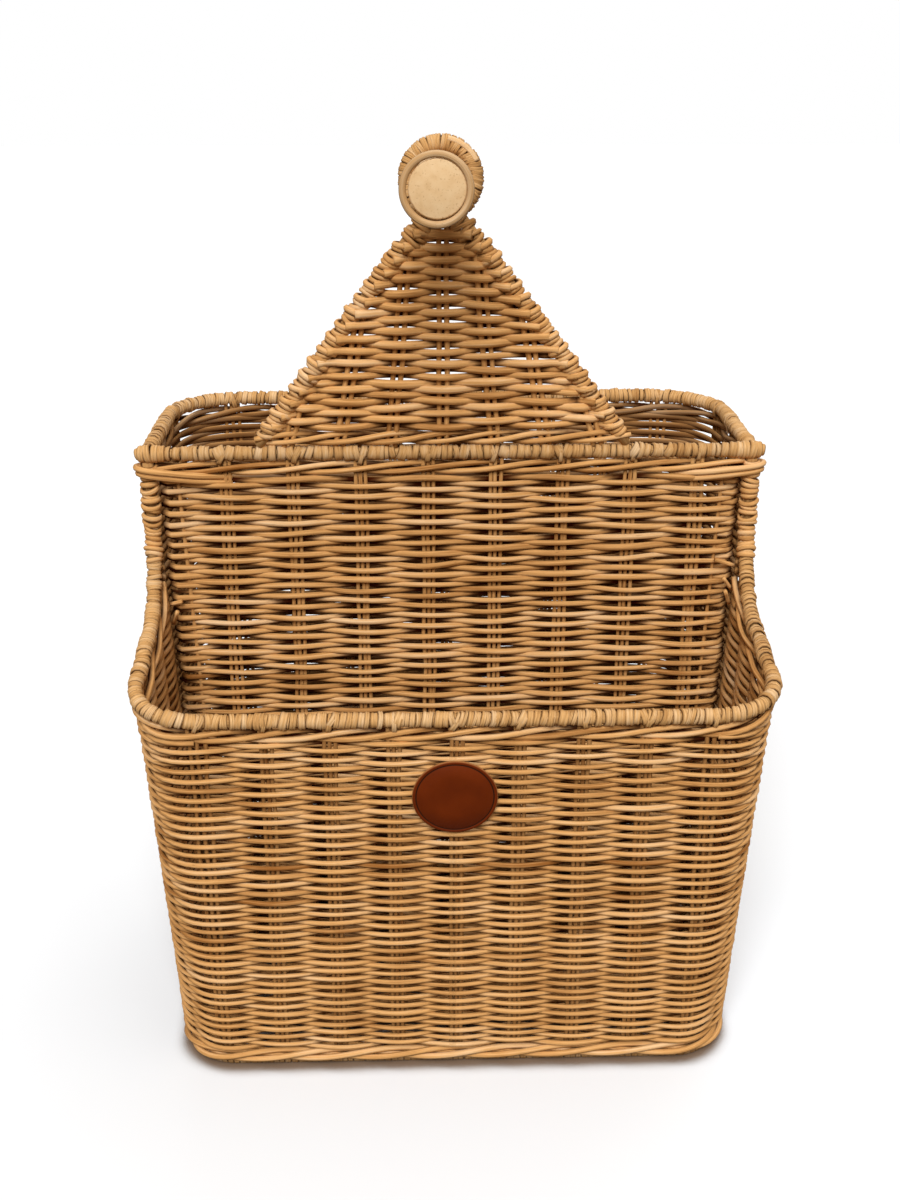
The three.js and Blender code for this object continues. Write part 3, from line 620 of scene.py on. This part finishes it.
def bound_rim(line, width, spread, lay, partings, ties):
    """Turns of peel along a rim: uneven, laid over by the group, and parted in a V at the partings.

    A turn at each tie reaches down to take in the wale.
    """
    most_turns, lap, parting_slant, tie_drop, tie_width = 900, 1.1, 0.4, 0.0015, 0.0030
    gaps = np.clip(chance.normal(width, spread, most_turns), 0.5 * width, 1.8 * width)
    points, ways, marks = stations(line, gaps)
    group_slant = chance.normal(lay, 0.09, len(partings) + 1)
    turns = []
    for point, way, mark, gap in zip(points, ways, marks, gaps):
        away = mark - partings[np.argmin(np.abs(partings - mark))]
        near = max(0.0, 1 - abs(away) / (1.7 * width))
        slant = group_slant[np.searchsorted(partings, mark)] + chance.normal(0, 0.07)
        swell = rim_bound * (1 + chance.normal(0, 0.06))
        turns.append(seated(point, way, gap * lap, swell, swell * (1 + chance.normal(0, 0.03)),
                            slant + math.copysign(parting_slant * near, away), chance.normal(0, 0.09)))
    points, ways, marks = stations(line, np.diff(ties, prepend=0.0))
    for point, way in zip(points, ways):
        drop = tie_drop * chance.uniform(0.5, 1.2)
        turns.append(seated(point - np.array([0, 0, drop]), way, tie_width * chance.uniform(0.8, 1.25),
                            rim_bound * 1.02, rim_bound + drop, lay + chance.normal(0, 0.2)))
    return turns


def marks_along(line, places):
    """How far along a run of points the nearest point to each place lies."""
    along = lengths(line)
    return np.array([along[np.argmin(np.linalg.norm(line - place, axis=1))] for place in places])


stake_places = (np.arange(stakes_round) + 1 - stakes_round // 2) * spacing
front_reach = 0.2
front_places = stake_places[np.abs(stake_places) < front_reach]
front_marks = marks_along(front_rim_line, on_wall(front_places, front_rim_z))
front_turns = bound_rim(front_rim_line, width=0.0032, spread=0.0011, lay=0.2, partings=front_marks,
                        ties=front_marks)
new_piece("front_rim_peel", binding(front_turns, peel_band), peel_finish, "peel", "front_rim_binding")
rear_places = stake_places[np.abs(stake_places) > post_s]
rear_marks = marks_along(rear_bound_line, on_wall(rear_places, divider_rim_z))
rear_turns = bound_rim(rear_bound_line, width=0.0032, spread=0.0010, lay=-0.15, partings=rear_marks,
                       ties=rear_marks)
new_piece("rear_rim_peel", binding(rear_turns, peel_band), peel_finish, "peel", "rear_rim_binding")


# Divider
# A flat panel between the two bins, woven on eight groups of three stakes of its own.
# It stands on the bottom, is waled and bound along its top, and turns round the posts at its ends.

divider_stakes, divider_spacing, divider_shift = 8, 0.041, 0.0065
divider_foot_z, divider_row, divider_rows = 0.0155, 0.00345, 97
divider_reed, end_bend, end_back = 0.0036, 0.0055, 0.004
divider_swing = stake_thick / 2 + divider_reed / 2 - 0.0005
end_stake_in, end_stake_low = 0.017, 0.010
post_lean = float(lean_at(post_s))
divider_places = divider_shift + (np.arange(divider_stakes) - (divider_stakes - 1) / 2) * divider_spacing


def on_divider(x, z):
    """Points in the plane of the divider and the gable."""
    return np.stack(np.broadcast_arrays(x, divider_y, z), -1)


divider_runs = []
for place in divider_places:
    for apart in three_places:
        z = np.linspace(divider_foot_z, divider_rim_z - under_rim, 16)
        divider_runs.append(on_divider(place + apart + wander(z * 3, 0.0006), z))
for hand in (-1, 1):
    z = np.linspace(divider_foot_z, divider_rim_z - end_stake_low, 16)
    divider_runs.append(on_divider(hand * (half_width + post_lean * z - end_stake_in), z))
# The divider's stakes carry painted shade all over.
new_piece("divider_stakes", reeds(divider_runs, stake_thick, shaded=0.3), stake_finish, "reed",
          *(f"divider_stake_{i + 1}" for i in range(divider_stakes)))

divider_weave = []
for row in range(divider_rows):
    z = divider_foot_z + (row + 0.5) * divider_row
    end_short = np.interp(z, (0.19, 0.33), (0.0040, 0.0060))
    half = half_width + post_lean * z - end_short
    half += chance.uniform(-0.0015, 0.0008)
    x = np.linspace(-half, half, 88)
    y = divider_y - over_under((x - divider_shift) / divider_spacing + 0.5 + row) * (
        divider_swing + wander(x, 0.0002))
    y += end_back * np.clip((np.abs(x) - half + end_bend) / end_bend, 0, 1) ** 2
    divider_weave.append(np.stack([x, y, z + wander(x, 0.0008)], 1))


def divider_depth(points):
    """How far points lie behind the divider's mid-plane."""
    return points[:, 1] - divider_y


# The divider's rows carry painted shade all over, for the front wall's shadow, besides the painted shade in
# their hollows.
new_piece("divider_rows", reeds(divider_weave, divider_reed, sides=8, uneven=0.07, depth=divider_depth,
                                shaded=0.13), reed_finish, "reed", "divider_weave")

divider_half = half_width + post_lean * divider_rim_z - post_clear
divider_line = on_divider(np.linspace(-divider_half, divider_half, 90), divider_rim_z - rim_to_wale)
new_piece("divider_wale", reeds(wale(divider_line, 3 * divider_spacing), wale_reed, depth=divider_depth),
          reed_finish, "reed", "divider_waling")
divider_rim_line = divider_line + (0, 0, rim_to_wale)
new_piece("divider_rim_core", reeds([divider_rim_line], rim_cane, sides=10), cane_finish, "cane",
          "divider_rim_cane")
divider_marks = marks_along(divider_rim_line, on_divider(divider_places, divider_rim_z))
divider_partings = np.sort(np.r_[divider_marks, divider_marks[:-1] + divider_spacing / 2])
divider_turns = bound_rim(divider_rim_line, width=0.0041, spread=0.0011, lay=0.05,
                          partings=divider_partings, ties=divider_marks)
# The divider's binding carries painted shade all over.
new_piece("divider_rim_peel", binding(divider_turns, peel_band, painted_shade=0.2), peel_finish, "peel",
          "divider_rim_binding")


# Turns round the posts
# The rows of the divider and of the rear wall turn round the two posts, which are the front rim's ends.
# The turns lie in pairs, one row out and one row back, and hide the cane.

reed_round = [(1 + 0.34 * math.cos(a), 0.5 * math.sin(a)) for a in np.arange(6) * math.pi / 3]
post_points, pair_gaps = 18, [0.0030, 0.0039]
turn_width, turn_deep, turn_high = 0.0034, 0.0043, 0.0045
post_turns = []
for hand in (0, 1):
    line = front_rim_line[:post_points] if hand == 0 else front_rim_line[::-1][:post_points]
    line = np.concatenate([post_head[hand:hand + 1], line])
    points, ways, marks = stations(line, np.tile(pair_gaps, 40))
    for point, way in zip(points, ways):
        size = chance.uniform(0.92, 1.16)
        post_turns.append(seated(point, way, turn_width * chance.uniform(0.85, 1.15), turn_deep * size,
                                 turn_high * size, chance.normal(0, 0.17), chance.normal(0, 0.16)))
new_piece("post_turns", binding(post_turns, reed_round, steps=14), reed_finish, "reed")


def rounded(points):
    """A run of points with its corners cut off three times over, which leaves a smooth curve."""
    points = np.asarray(points, float)
    for _ in range(3):
        near, far = 0.75 * points[:-1] + 0.25 * points[1:], 0.25 * points[:-1] + 0.75 * points[1:]
        points = np.concatenate([points[:1], np.stack([near, far], 1).reshape(-1, 3), points[-1:]])
    return points


corner_width, loop_reed, end_reed, end_in, end_ahead = 0.0050, 0.0036, 0.0026, 0.0045, 0.004
loop = [(-0.050, 0.0020, -0.0150), (-0.040, -0.0010, -0.0140), (-0.030, -0.0058, -0.0124),
        (-0.012, -0.0076, -0.0100), (0.001, -0.0076, -0.0084), (0.0062, -0.0040, -0.0078),
        (0.0076, 0.0016, -0.0082), (0.0048, 0.0072, -0.0092), (-0.006, 0.0080, -0.0100),
        (-0.020, 0.0030, -0.0106)]
corner_turns, corner_loops, cut_ends = [], [], []
for post, outward in ((-post_s, -1), (post_s, 1)):
    corner_place = on_wall(post, divider_rim_z)
    for shift, size in ((-0.0085, 1.06), (-0.0048, 1.14), (-0.0008, 1.22), (0.0028, 1.08), (0.0046, 0.78)):
        corner_turns.append(seated(corner_place + (outward * shift, 0, 0), (1, 0, 0),
                                   corner_width * chance.uniform(0.9, 1.15), rim_bound * size,
                                   rim_bound * size * 1.04, outward * chance.normal(0.08, 0.08),
                                   chance.normal(0, 0.08)))
    for low, wide in ((0.0, 1.0), (0.0036, 0.86)):
        corner_loops.append(rounded([corner_place + (outward * x * (wide if x > 0 else 1), y * wide, z - low)
                                     for x, y, z in loop]))
for outward, z, reach, rise, ahead in (
        (1, 0.2915, 0.0125, 0.0050, 0.0030), (1, 0.2760, 0.0060, 0.0088, 0.0040),
        (1, 0.2660, 0.0045, 0.0112, 0.0070), (-1, 0.2560, 0.0042, 0.0105, 0.0060),
        (-1, 0.2690, 0.0075, 0.0030, 0.0030)):
    foot = on_wall(outward * post_s, z, -end_in) - (0, end_ahead, 0)
    tip = foot + (-outward * reach, -ahead, rise)
    cut_ends.append(np.linspace(foot, tip, 5))
new_piece("corner_lashing", binding(corner_turns, peel_band, steps=16), peel_finish, "peel")
new_piece("corner_loops", reeds(corner_loops, loop_reed, sides=8), reed_finish, "reed")
new_piece("cut_ends", reeds(cut_ends, end_reed, sides=8), reed_finish, "reed")


# Gable
# Two canes lean together over the divider, with stakes in pairs fanned out between them.
# The weaver runs to and fro between the canes, and goes round each of them twice at every turn.

gable_x = -0.005
gable_foot_z = divider_rim_z + 0.005
gable_head_z, gable_foot_half = 0.50334, 0.111
gable_heads = (-0.0112, 0.0106)
gable_fan, gable_spacing, gable_row = 0.350, 0.031, 0.0038
gable_cane, gable_reed, gable_stake = 0.0066, 0.0045, 0.0032
gable_turn = gable_cane / 2 + gable_reed / 2
gable_swing, gable_pair, gable_groups = 0.0027, 0.0023, 7
stake_head_z, stake_end_gap, row_end, point_gap = 0.5015, 0.004, 0.010, 0.0034
cane_past, stake_past = 0.002, 0.002


def gable_edge(hand, z):
    """The x of a leaning cane's middle at a height, left cane 0 and right cane 1."""
    foot = gable_foot_half * (2 * hand - 1)
    return gable_x + foot + (gable_heads[hand] - foot) * (z - gable_foot_z) / (gable_head_z - gable_foot_z)


z = np.linspace(gable_foot_z, gable_head_z + cane_past, 12)
new_piece("gable_canes", reeds([on_divider(gable_edge(hand, z), z) for hand in (0, 1)], gable_cane, sides=10),
          cane_finish, "cane", "gable_left_cane", "gable_right_cane")

gable_runs = []
for group in np.arange(gable_groups) - gable_groups // 2:
    top = gable_foot_z
    while top < stake_head_z and abs(group) * gable_spacing * (1 - (top - gable_foot_z) / gable_fan) < (
            gable_edge(1, top) - gable_edge(0, top)) / 2 - stake_end_gap:
        top += 0.001
    z = np.linspace(gable_foot_z - stake_past, top, 10)
    fan = group * gable_spacing * (1 - (z - gable_foot_z) / gable_fan)
    for apart in (-gable_pair, gable_pair):
        gable_runs.append(on_divider(gable_x + fan + apart + wander(z * 4, 0.0004), z))
# The gable's stakes carry painted shade all over.
new_piece("gable_stakes", reeds(gable_runs, gable_stake, sides=8, shaded=0.16), stake_finish, "reed",
          *(f"gable_stake_{i + 1}" for i in range(gable_groups)))

gable_rows = []
first_row_z, last_row_z = 0.3815, 0.5020
row_heights = np.arange(first_row_z, last_row_z, gable_row)
for row, z in enumerate(row_heights):
    left, right = (gable_edge(hand, z) for hand in (0, 1))
    x = np.linspace(left, right, max(6, int((right - left) / point_gap)))
    fan = 1 - (z - gable_foot_z) / gable_fan
    weave = over_under((x - gable_x) / (gable_spacing * fan) + row) * gable_swing
    end = np.clip(np.minimum(x - left, right - x) / row_end, 0, 1)
    depth = weave * end + gable_turn * (1 - end) * (-1) ** row
    gable_rows.append(np.stack([x, divider_y - depth, z + wander(x, 0.0008)], 1))


def head_fuller(points):
    """The weavers lie fuller toward the gable's head."""
    return np.interp(points[:, 2], (0.43, 0.49), (1.0, 1.18))


new_piece("gable_rows", reeds(gable_rows, gable_reed, sides=8, uneven=0.07, depth=divider_depth,
                              face=gable_swing + gable_reed / 2, fuller=head_fuller),
          reed_finish, "reed", "gable_weave")


def uneven_turn(point, way, sizes, slant, skew):
    """A turn of reed by its width, depth and height, each with the least and the most share of it."""
    width, deep, high = (size * chance.uniform(least, most) for size, least, most in sizes)
    return seated(point, way, width, deep, high, chance.normal(0, slant), chance.normal(0, skew))


loop_sizes = ((0.0038, 0.92, 1.12), (0.0047, 0.96, 1.08), (0.0050, 0.96, 1.14))
band_sizes = ((0.0033, 0.85, 1.15), (0.0039, 0.97, 1.08), (0.0041, 0.97, 1.12))
band_steps, wale_over, wale_up = (-0.0014, 0.0018), 0.002, 0.0042
cane_loops, cane_bands = [], []
for hand in (0, 1):
    across = gable_edge(hand, gable_head_z) - gable_edge(hand, gable_foot_z)
    lean_of = Vector((across, 0, gable_head_z - gable_foot_z)).normalized()
    for row, z in enumerate(np.r_[first_row_z - gable_row, row_heights[:-3]]):
        point = (gable_edge(hand, z), divider_y, z)
        flat = lean_of.lerp(Vector((0, 0, 1)), 0.35 + chance.normal(0, 0.12))
        if row % 2:
            cane_loops.append(uneven_turn(point, flat, loop_sizes, slant=0.12, skew=0.1))
        else:
            for step in band_steps:
                cane_bands.append(uneven_turn(lean_of * step + Vector(point), flat, band_sizes, slant=0.12,
                                              skew=0.1))
new_piece("gable_loops", binding(cane_loops, reed_round, steps=14), reed_finish, "reed")
# The bands carry painted shade all over.
new_piece("gable_bands", binding(cane_bands, reed_round, steps=12, painted_shade=0.12), reed_finish, "reed")

gable_ends = [gable_edge(hand, gable_foot_z) for hand in (0, 1)]
gable_line = on_divider(np.linspace(gable_ends[0] - wale_over, gable_ends[1] + wale_over, 60),
                        gable_foot_z + wale_up)
new_piece("gable_wale", reeds(wale(gable_line, 3 * gable_spacing), wale_reed, depth=divider_depth),
          reed_finish, "reed", "gable_waling")


# Hoop
# A ring of cane at the head of the gable, bound with peel, which the roll peg is pushed through.
# Longer turns of reed at its foot lash it to the ends of the leaning canes.

hoop_shift, hoop_z, hoop_radius, hoop_bound = -0.0009, 0.525, 0.0195, 0.0051
hoop_lap, hoop_slant, hoop_skew, right_skew = 1.42, 0.05, 0.06, 0.3
peg_turn, peg_tilt = math.radians(-2), math.radians(-4)
hoop_place = (Matrix.Translation((gable_x + hoop_shift, divider_y, hoop_z))
              @ Matrix.Rotation(peg_turn, 4, "Z") @ Matrix.Rotation(peg_tilt, 4, "X"))


def round_peg(radius, angles, y=0.0, left=0.0, down=0.0):
    """Points of a circle round the peg's axis, by their angles from its foot."""
    return np.array([hoop_place @ Vector((radius * math.sin(a) - left, y, -radius * math.cos(a) - down))
                     for a in angles])


hoop_line = round_peg(hoop_radius, np.linspace(0, 2 * math.pi, 121))
hoop_middle = np.array(hoop_place.translation)
new_piece("hoop_core", reeds([hoop_line[:-1]], rim_cane, closed=True, sides=8), cane_finish, "cane")
hoop_gaps = chance.uniform(0.0016, 0.0029, 110)
points, ways, marks = stations(hoop_line, hoop_gaps)
hoop_turns = []
for point, way, mark, gap in zip(points, ways, marks, hoop_gaps):
    outward = Vector(point - hoop_middle).normalized()
    through = Vector(way).cross(outward)
    swell = hoop_bound * (1 + chance.normal(0, 0.035))
    spot = Matrix.Translation(Vector(point)) @ Matrix((outward, through, Vector(way))).transposed().to_4x4()
    rightward = max(0.0, math.sin(mark / hoop_radius))
    slant = Matrix.Rotation(chance.normal(hoop_slant, 0.07), 4, "X") @ Matrix.Rotation(
        chance.normal(hoop_skew + right_skew * rightward, 0.06), 4, "Y")
    hoop_turns.append(spot @ slant @ Matrix.Diagonal((swell, swell, gap * hoop_lap, 1)))
new_piece("hoop_binding", binding(hoop_turns, peel_band), peel_finish, "peel", "peg_hoop")

strip_start, strip_end = math.radians(170), math.radians(116)
# Painted highlight: the strip's tone is set near the palest, for the light on its smooth face.
strip_out, strip_y, strip_thick, strip_highlight = 0.0027, -0.0036, 0.0034, 0.95
strip_line = round_peg(hoop_radius + strip_out, np.linspace(strip_start, strip_end, 18), strip_y)
mesh = reeds([strip_line], strip_thick, sides=8)
mesh.attributes["tone"].data.foreach_set("value", np.full(len(mesh.vertices), strip_highlight))
new_piece("hoop_strip", mesh, peel_finish, "peel")

neck_foot_z, neck_head_z, neck_in, neck_down = 0.4915, 0.5085, 0.0020, 0.0010
neck_sizes = ((0.0030, 0.8, 1.2), (0.0044, 0.95, 1.08), (0.0062, 0.9, 1.15))
neck_count, neck_turns = 7, []
for hand, inward in ((0, 1), (1, -1)):
    foot, head = (on_divider(gable_edge(hand, z), z) for z in (neck_foot_z, neck_head_z))
    for share in np.linspace(0, 1, neck_count):
        point = foot + (head - foot) * share + np.array([inward * neck_in, 0, -neck_down])
        neck_turns.append(uneven_turn(point, head - foot, neck_sizes, slant=0.14, skew=0.14))
# The neck lashing carries painted shade all over.
new_piece("neck_lashing", binding(neck_turns, reed_round, steps=14, painted_shade=0.18), reed_finish, "reed")


# Roll peg
# A turned rod of pale wood that carries the rolls, pushed through the hoop and tipped up in front.
# Its front end is planed flat, with a small round on the edge.

peg_radius, peg_front, peg_back = 0.0145, -0.122, 0.012
peg_finish, start = new_finish("peg_wood", shine=0.2)
place = start.node("ShaderNodeTexCoord", output="Object")
length = start.node("ShaderNodeMapping", sockets={"Vector": place, "Scale": (260.0, 26.0, 260.0)})
wood = start.noise(length, scale=1.0, detail=5.0)
speck = start.noise(place, scale=900.0, detail=2.0)
cloud = start.noise(place, scale=60.0, detail=3.0)
colour = start.node("ShaderNodeValToRGB", {"stops": [
    (0.25, (0.56, 0.34, 0.145, 1)), (0.5, (0.74, 0.505, 0.265, 1)), (0.75, (0.81, 0.595, 0.345, 1))]},
    {"Fac": wood * 0.45 + cloud * 0.55})
worn = start.carried("edge")
dark = start.node("ShaderNodeMapRange", sockets={"Value": speck + worn * 0.3 * cloud, "From Min": 0.6,
                                                 "From Max": 0.75, "To Max": 0.5})
start.blend(dark, colour, (0.38, 0.2, 0.08, 1)).feed("Base Color")
(0.5 + 0.2 * wood).feed("Roughness")
wood.relief(strength=0.3, distance=0.0003)


def spun(profile, axis, steps, place):
    """A profile spun round an axis and set in its place; its points carry an edge and a line value."""
    work = bmesh.new()
    edge_of = work.verts.layers.float.new("edge")
    line_of = work.verts.layers.float.new("line")
    points = []
    for point, edge, line in profile:
        points.append(work.verts.new(point))
        points[-1][edge_of], points[-1][line_of] = edge, line
    spin_round(work, points, axis, steps)
    bmesh.ops.transform(work, matrix=place, verts=work.verts)
    return mesh_of(work)


peg_edge, peg_worn = 0.0009, 0.7
peg_profile = [(0, peg_front, 0), (peg_radius - peg_edge, peg_front, 0),
               (peg_radius - peg_edge * 0.3, peg_front + peg_edge * 0.3, peg_worn),
               (peg_radius, peg_front + peg_edge, peg_worn), (peg_radius, peg_back - peg_edge, 0),
               (peg_radius - peg_edge, peg_back, 0), (0, peg_back, 0)]
peg_points = [((reach, y, 0), worn, 0) for reach, y, worn in peg_profile]
new_piece("turned_peg", spun(peg_points, axis=(0, 1, 0), steps=48, place=hoop_place), peg_finish, "peg_wood",
          "roll_peg")


# Peg collar
# A ring of thin round cane round the peg's front end, which keeps the rolls from sliding off.
# It is bent to a closed ring that fits close on the peg, a little ahead of the flat end.

collar_radius, collar_cane, collar_ahead = 0.0168, 0.0037, 0.0012
collar_y = peg_front + collar_cane / 2 - collar_ahead
collar_left, collar_down = 0.0004, 0.0003
collar = round_peg(collar_radius, np.arange(96) * 2 * math.pi / 96, collar_y, collar_left, collar_down)
# The collar ring is darkened all over with the painted-shade multiply.
new_piece("collar_ring", reeds([collar], collar_cane, closed=True, sides=12, uneven=0.0, shaded=0.28),
          peel_finish, "cane", "peg_collar")


# Leather badge
# An oval of thick dyed leather, left plain, with a line pressed in just inside its cut edge.
# It leans with the front wall and lies flat on the weave, close under the rim.

badge_width, badge_height, badge_thick = 0.049, 0.047, 0.0018
badge_left, badge_z, badge_out = -0.0012, 0.197, 0.0044
badge_finish, start = new_finish("badge_leather", shine=0.06)
place = start.node("ShaderNodeTexCoord", output="Object")
pores = start.node("ShaderNodeTexVoronoi", sockets={"Vector": place, "Scale": 1500.0})
cloud = start.noise(place, scale=70.0, detail=4.0)
hide = start.node("ShaderNodeValToRGB", {"stops": [(0.3, (0.105, 0.0150, 0.0014, 1)),
                                                   (0.7, (0.135, 0.0200, 0.0018, 1))]}, {"Fac": cloud})
cut = start.blend(start.carried("edge"), hide, (0.36, 0.15, 0.05, 1))
start.blend(start.carried("line"), cut, (0.02, 0.006, 0.002, 1)).feed("Base Color")
(0.55 + 0.15 * cloud).feed("Roughness")
pores.relief(strength=0.25, distance=0.0002)

badge_place = (Matrix.Translation(Vector(on_wall(badge_left, badge_z, badge_out)))
               @ Matrix.Rotation(math.pi / 2 + math.atan(lean), 4, "X")
               @ Matrix.Diagonal((badge_width / 2, badge_height / 2, 1, 1)))
line_depth, edge_round = 0.0004, 0.0004
press = badge_thick - line_depth
badge_profile = [(0, 0, 0, 0), (0.99, 0, 1, 0), (1, edge_round, 1, 0), (1, badge_thick * 0.7, 1, 0),
                 (0.982, badge_thick, 0, 0), (0.93, badge_thick, 0, 0), (0.918, press, 0, 1),
                 (0.902, press, 0, 1), (0.89, badge_thick, 0, 0), (0.5, badge_thick, 0, 0),
                 (0, badge_thick, 0, 0)]
badge_points = [((reach, 0, lift), edge, line) for reach, lift, edge, line in badge_profile]
new_piece("oval_badge", spun(badge_points, axis=(0, 0, 1), steps=72, place=badge_place), badge_finish,
          "leather", "leather_badge")


# Floor, light and camera
# A white studio floor under a white background, soft light from above and in front,
# and the camera in front of the basket, a little above it and to the left.

work = bmesh.new()
bmesh.ops.create_grid(work, x_segments=1, y_segments=1, size=6.0)
floor = bpy.data.objects.new("floor", mesh_of(work, "floor"))
bpy.context.scene.collection.objects.link(floor)
floor_finish, start = new_finish("floor", shine=0.0, rough=0.9)


def seen_plainly(start):
    """1 on rays that show a surface to the eye, in a mirror or through glass, 0 on those that only light."""
    eye, mirror, glass = (start.node("ShaderNodeLightPath", output=name)
                          for name in ("Is Camera Ray", "Is Glossy Ray", "Is Transmission Ray"))
    return start.maths("MAXIMUM", start.maths("MAXIMUM", eye, mirror), glass)


# Painted contact shadow: the floor's colour turns brown where ambient occlusion finds the basket close by.
open_air = start.node("ShaderNodeAmbientOcclusion", {"samples": 8}, {"Distance": 0.015}, "AO")
bare = start.node("ShaderNodeMapRange", {"interpolation_type": "SMOOTHSTEP"},
                  {"Value": open_air, "From Min": 0.42, "From Max": 0.88})
contact_shadow, paper, bounce = (0.22, 0.15, 0.10, 1), (0.90, 0.95, 1.0, 1), (0.1, 0.088, 0.078, 1)
start.blend(seen_plainly(start), bounce, start.blend(bare, contact_shadow, paper)).feed("Base Color")
floor.data.materials.append(floor_finish)

world = bpy.data.worlds.new("studio")
bpy.context.scene.world = world
world.use_nodes = True
backdrop = world.node_tree.nodes["Background"]
sky = Shade(backdrop.inputs["Color"])
ambient, white = (0.26, 0.195, 0.14, 1), (1, 1, 1, 1)
sky.blend(seen_plainly(sky), ambient, white).link(backdrop.inputs["Color"])


def soft_sun(name, toward, strength, spread):
    """Even soft light from a distance; toward points from the basket to the light."""
    light = bpy.data.lights.new(name, "SUN")
    light.energy, light.angle = strength, math.radians(spread)
    made = bpy.data.objects.new(name, light)
    made.rotation_euler = Vector(toward).to_track_quat("Z", "Y").to_euler()
    bpy.context.scene.collection.objects.link(made)


soft_sun("key", toward=(-0.12, -1.0, 0.95), strength=3.15, spread=32)
soft_sun("top", toward=(0.3, -0.1, 1.0), strength=0.6, spread=60)
soft_sun("back", toward=(0.3, 1.0, 0.7), strength=0.5, spread=60)

camera = bpy.data.objects.new("camera", bpy.data.cameras.new("camera"))
camera.data.lens = 45
camera.data.sensor_width = 36
camera.location = (-0.0237, divider_y - 0.874, 0.6216)
camera.rotation_euler = (math.radians(68), 0, math.radians(-1.5))
bpy.context.scene.collection.objects.link(camera)
bpy.context.scene.camera = camera
bpy.context.scene.view_settings.view_transform = "Standard"
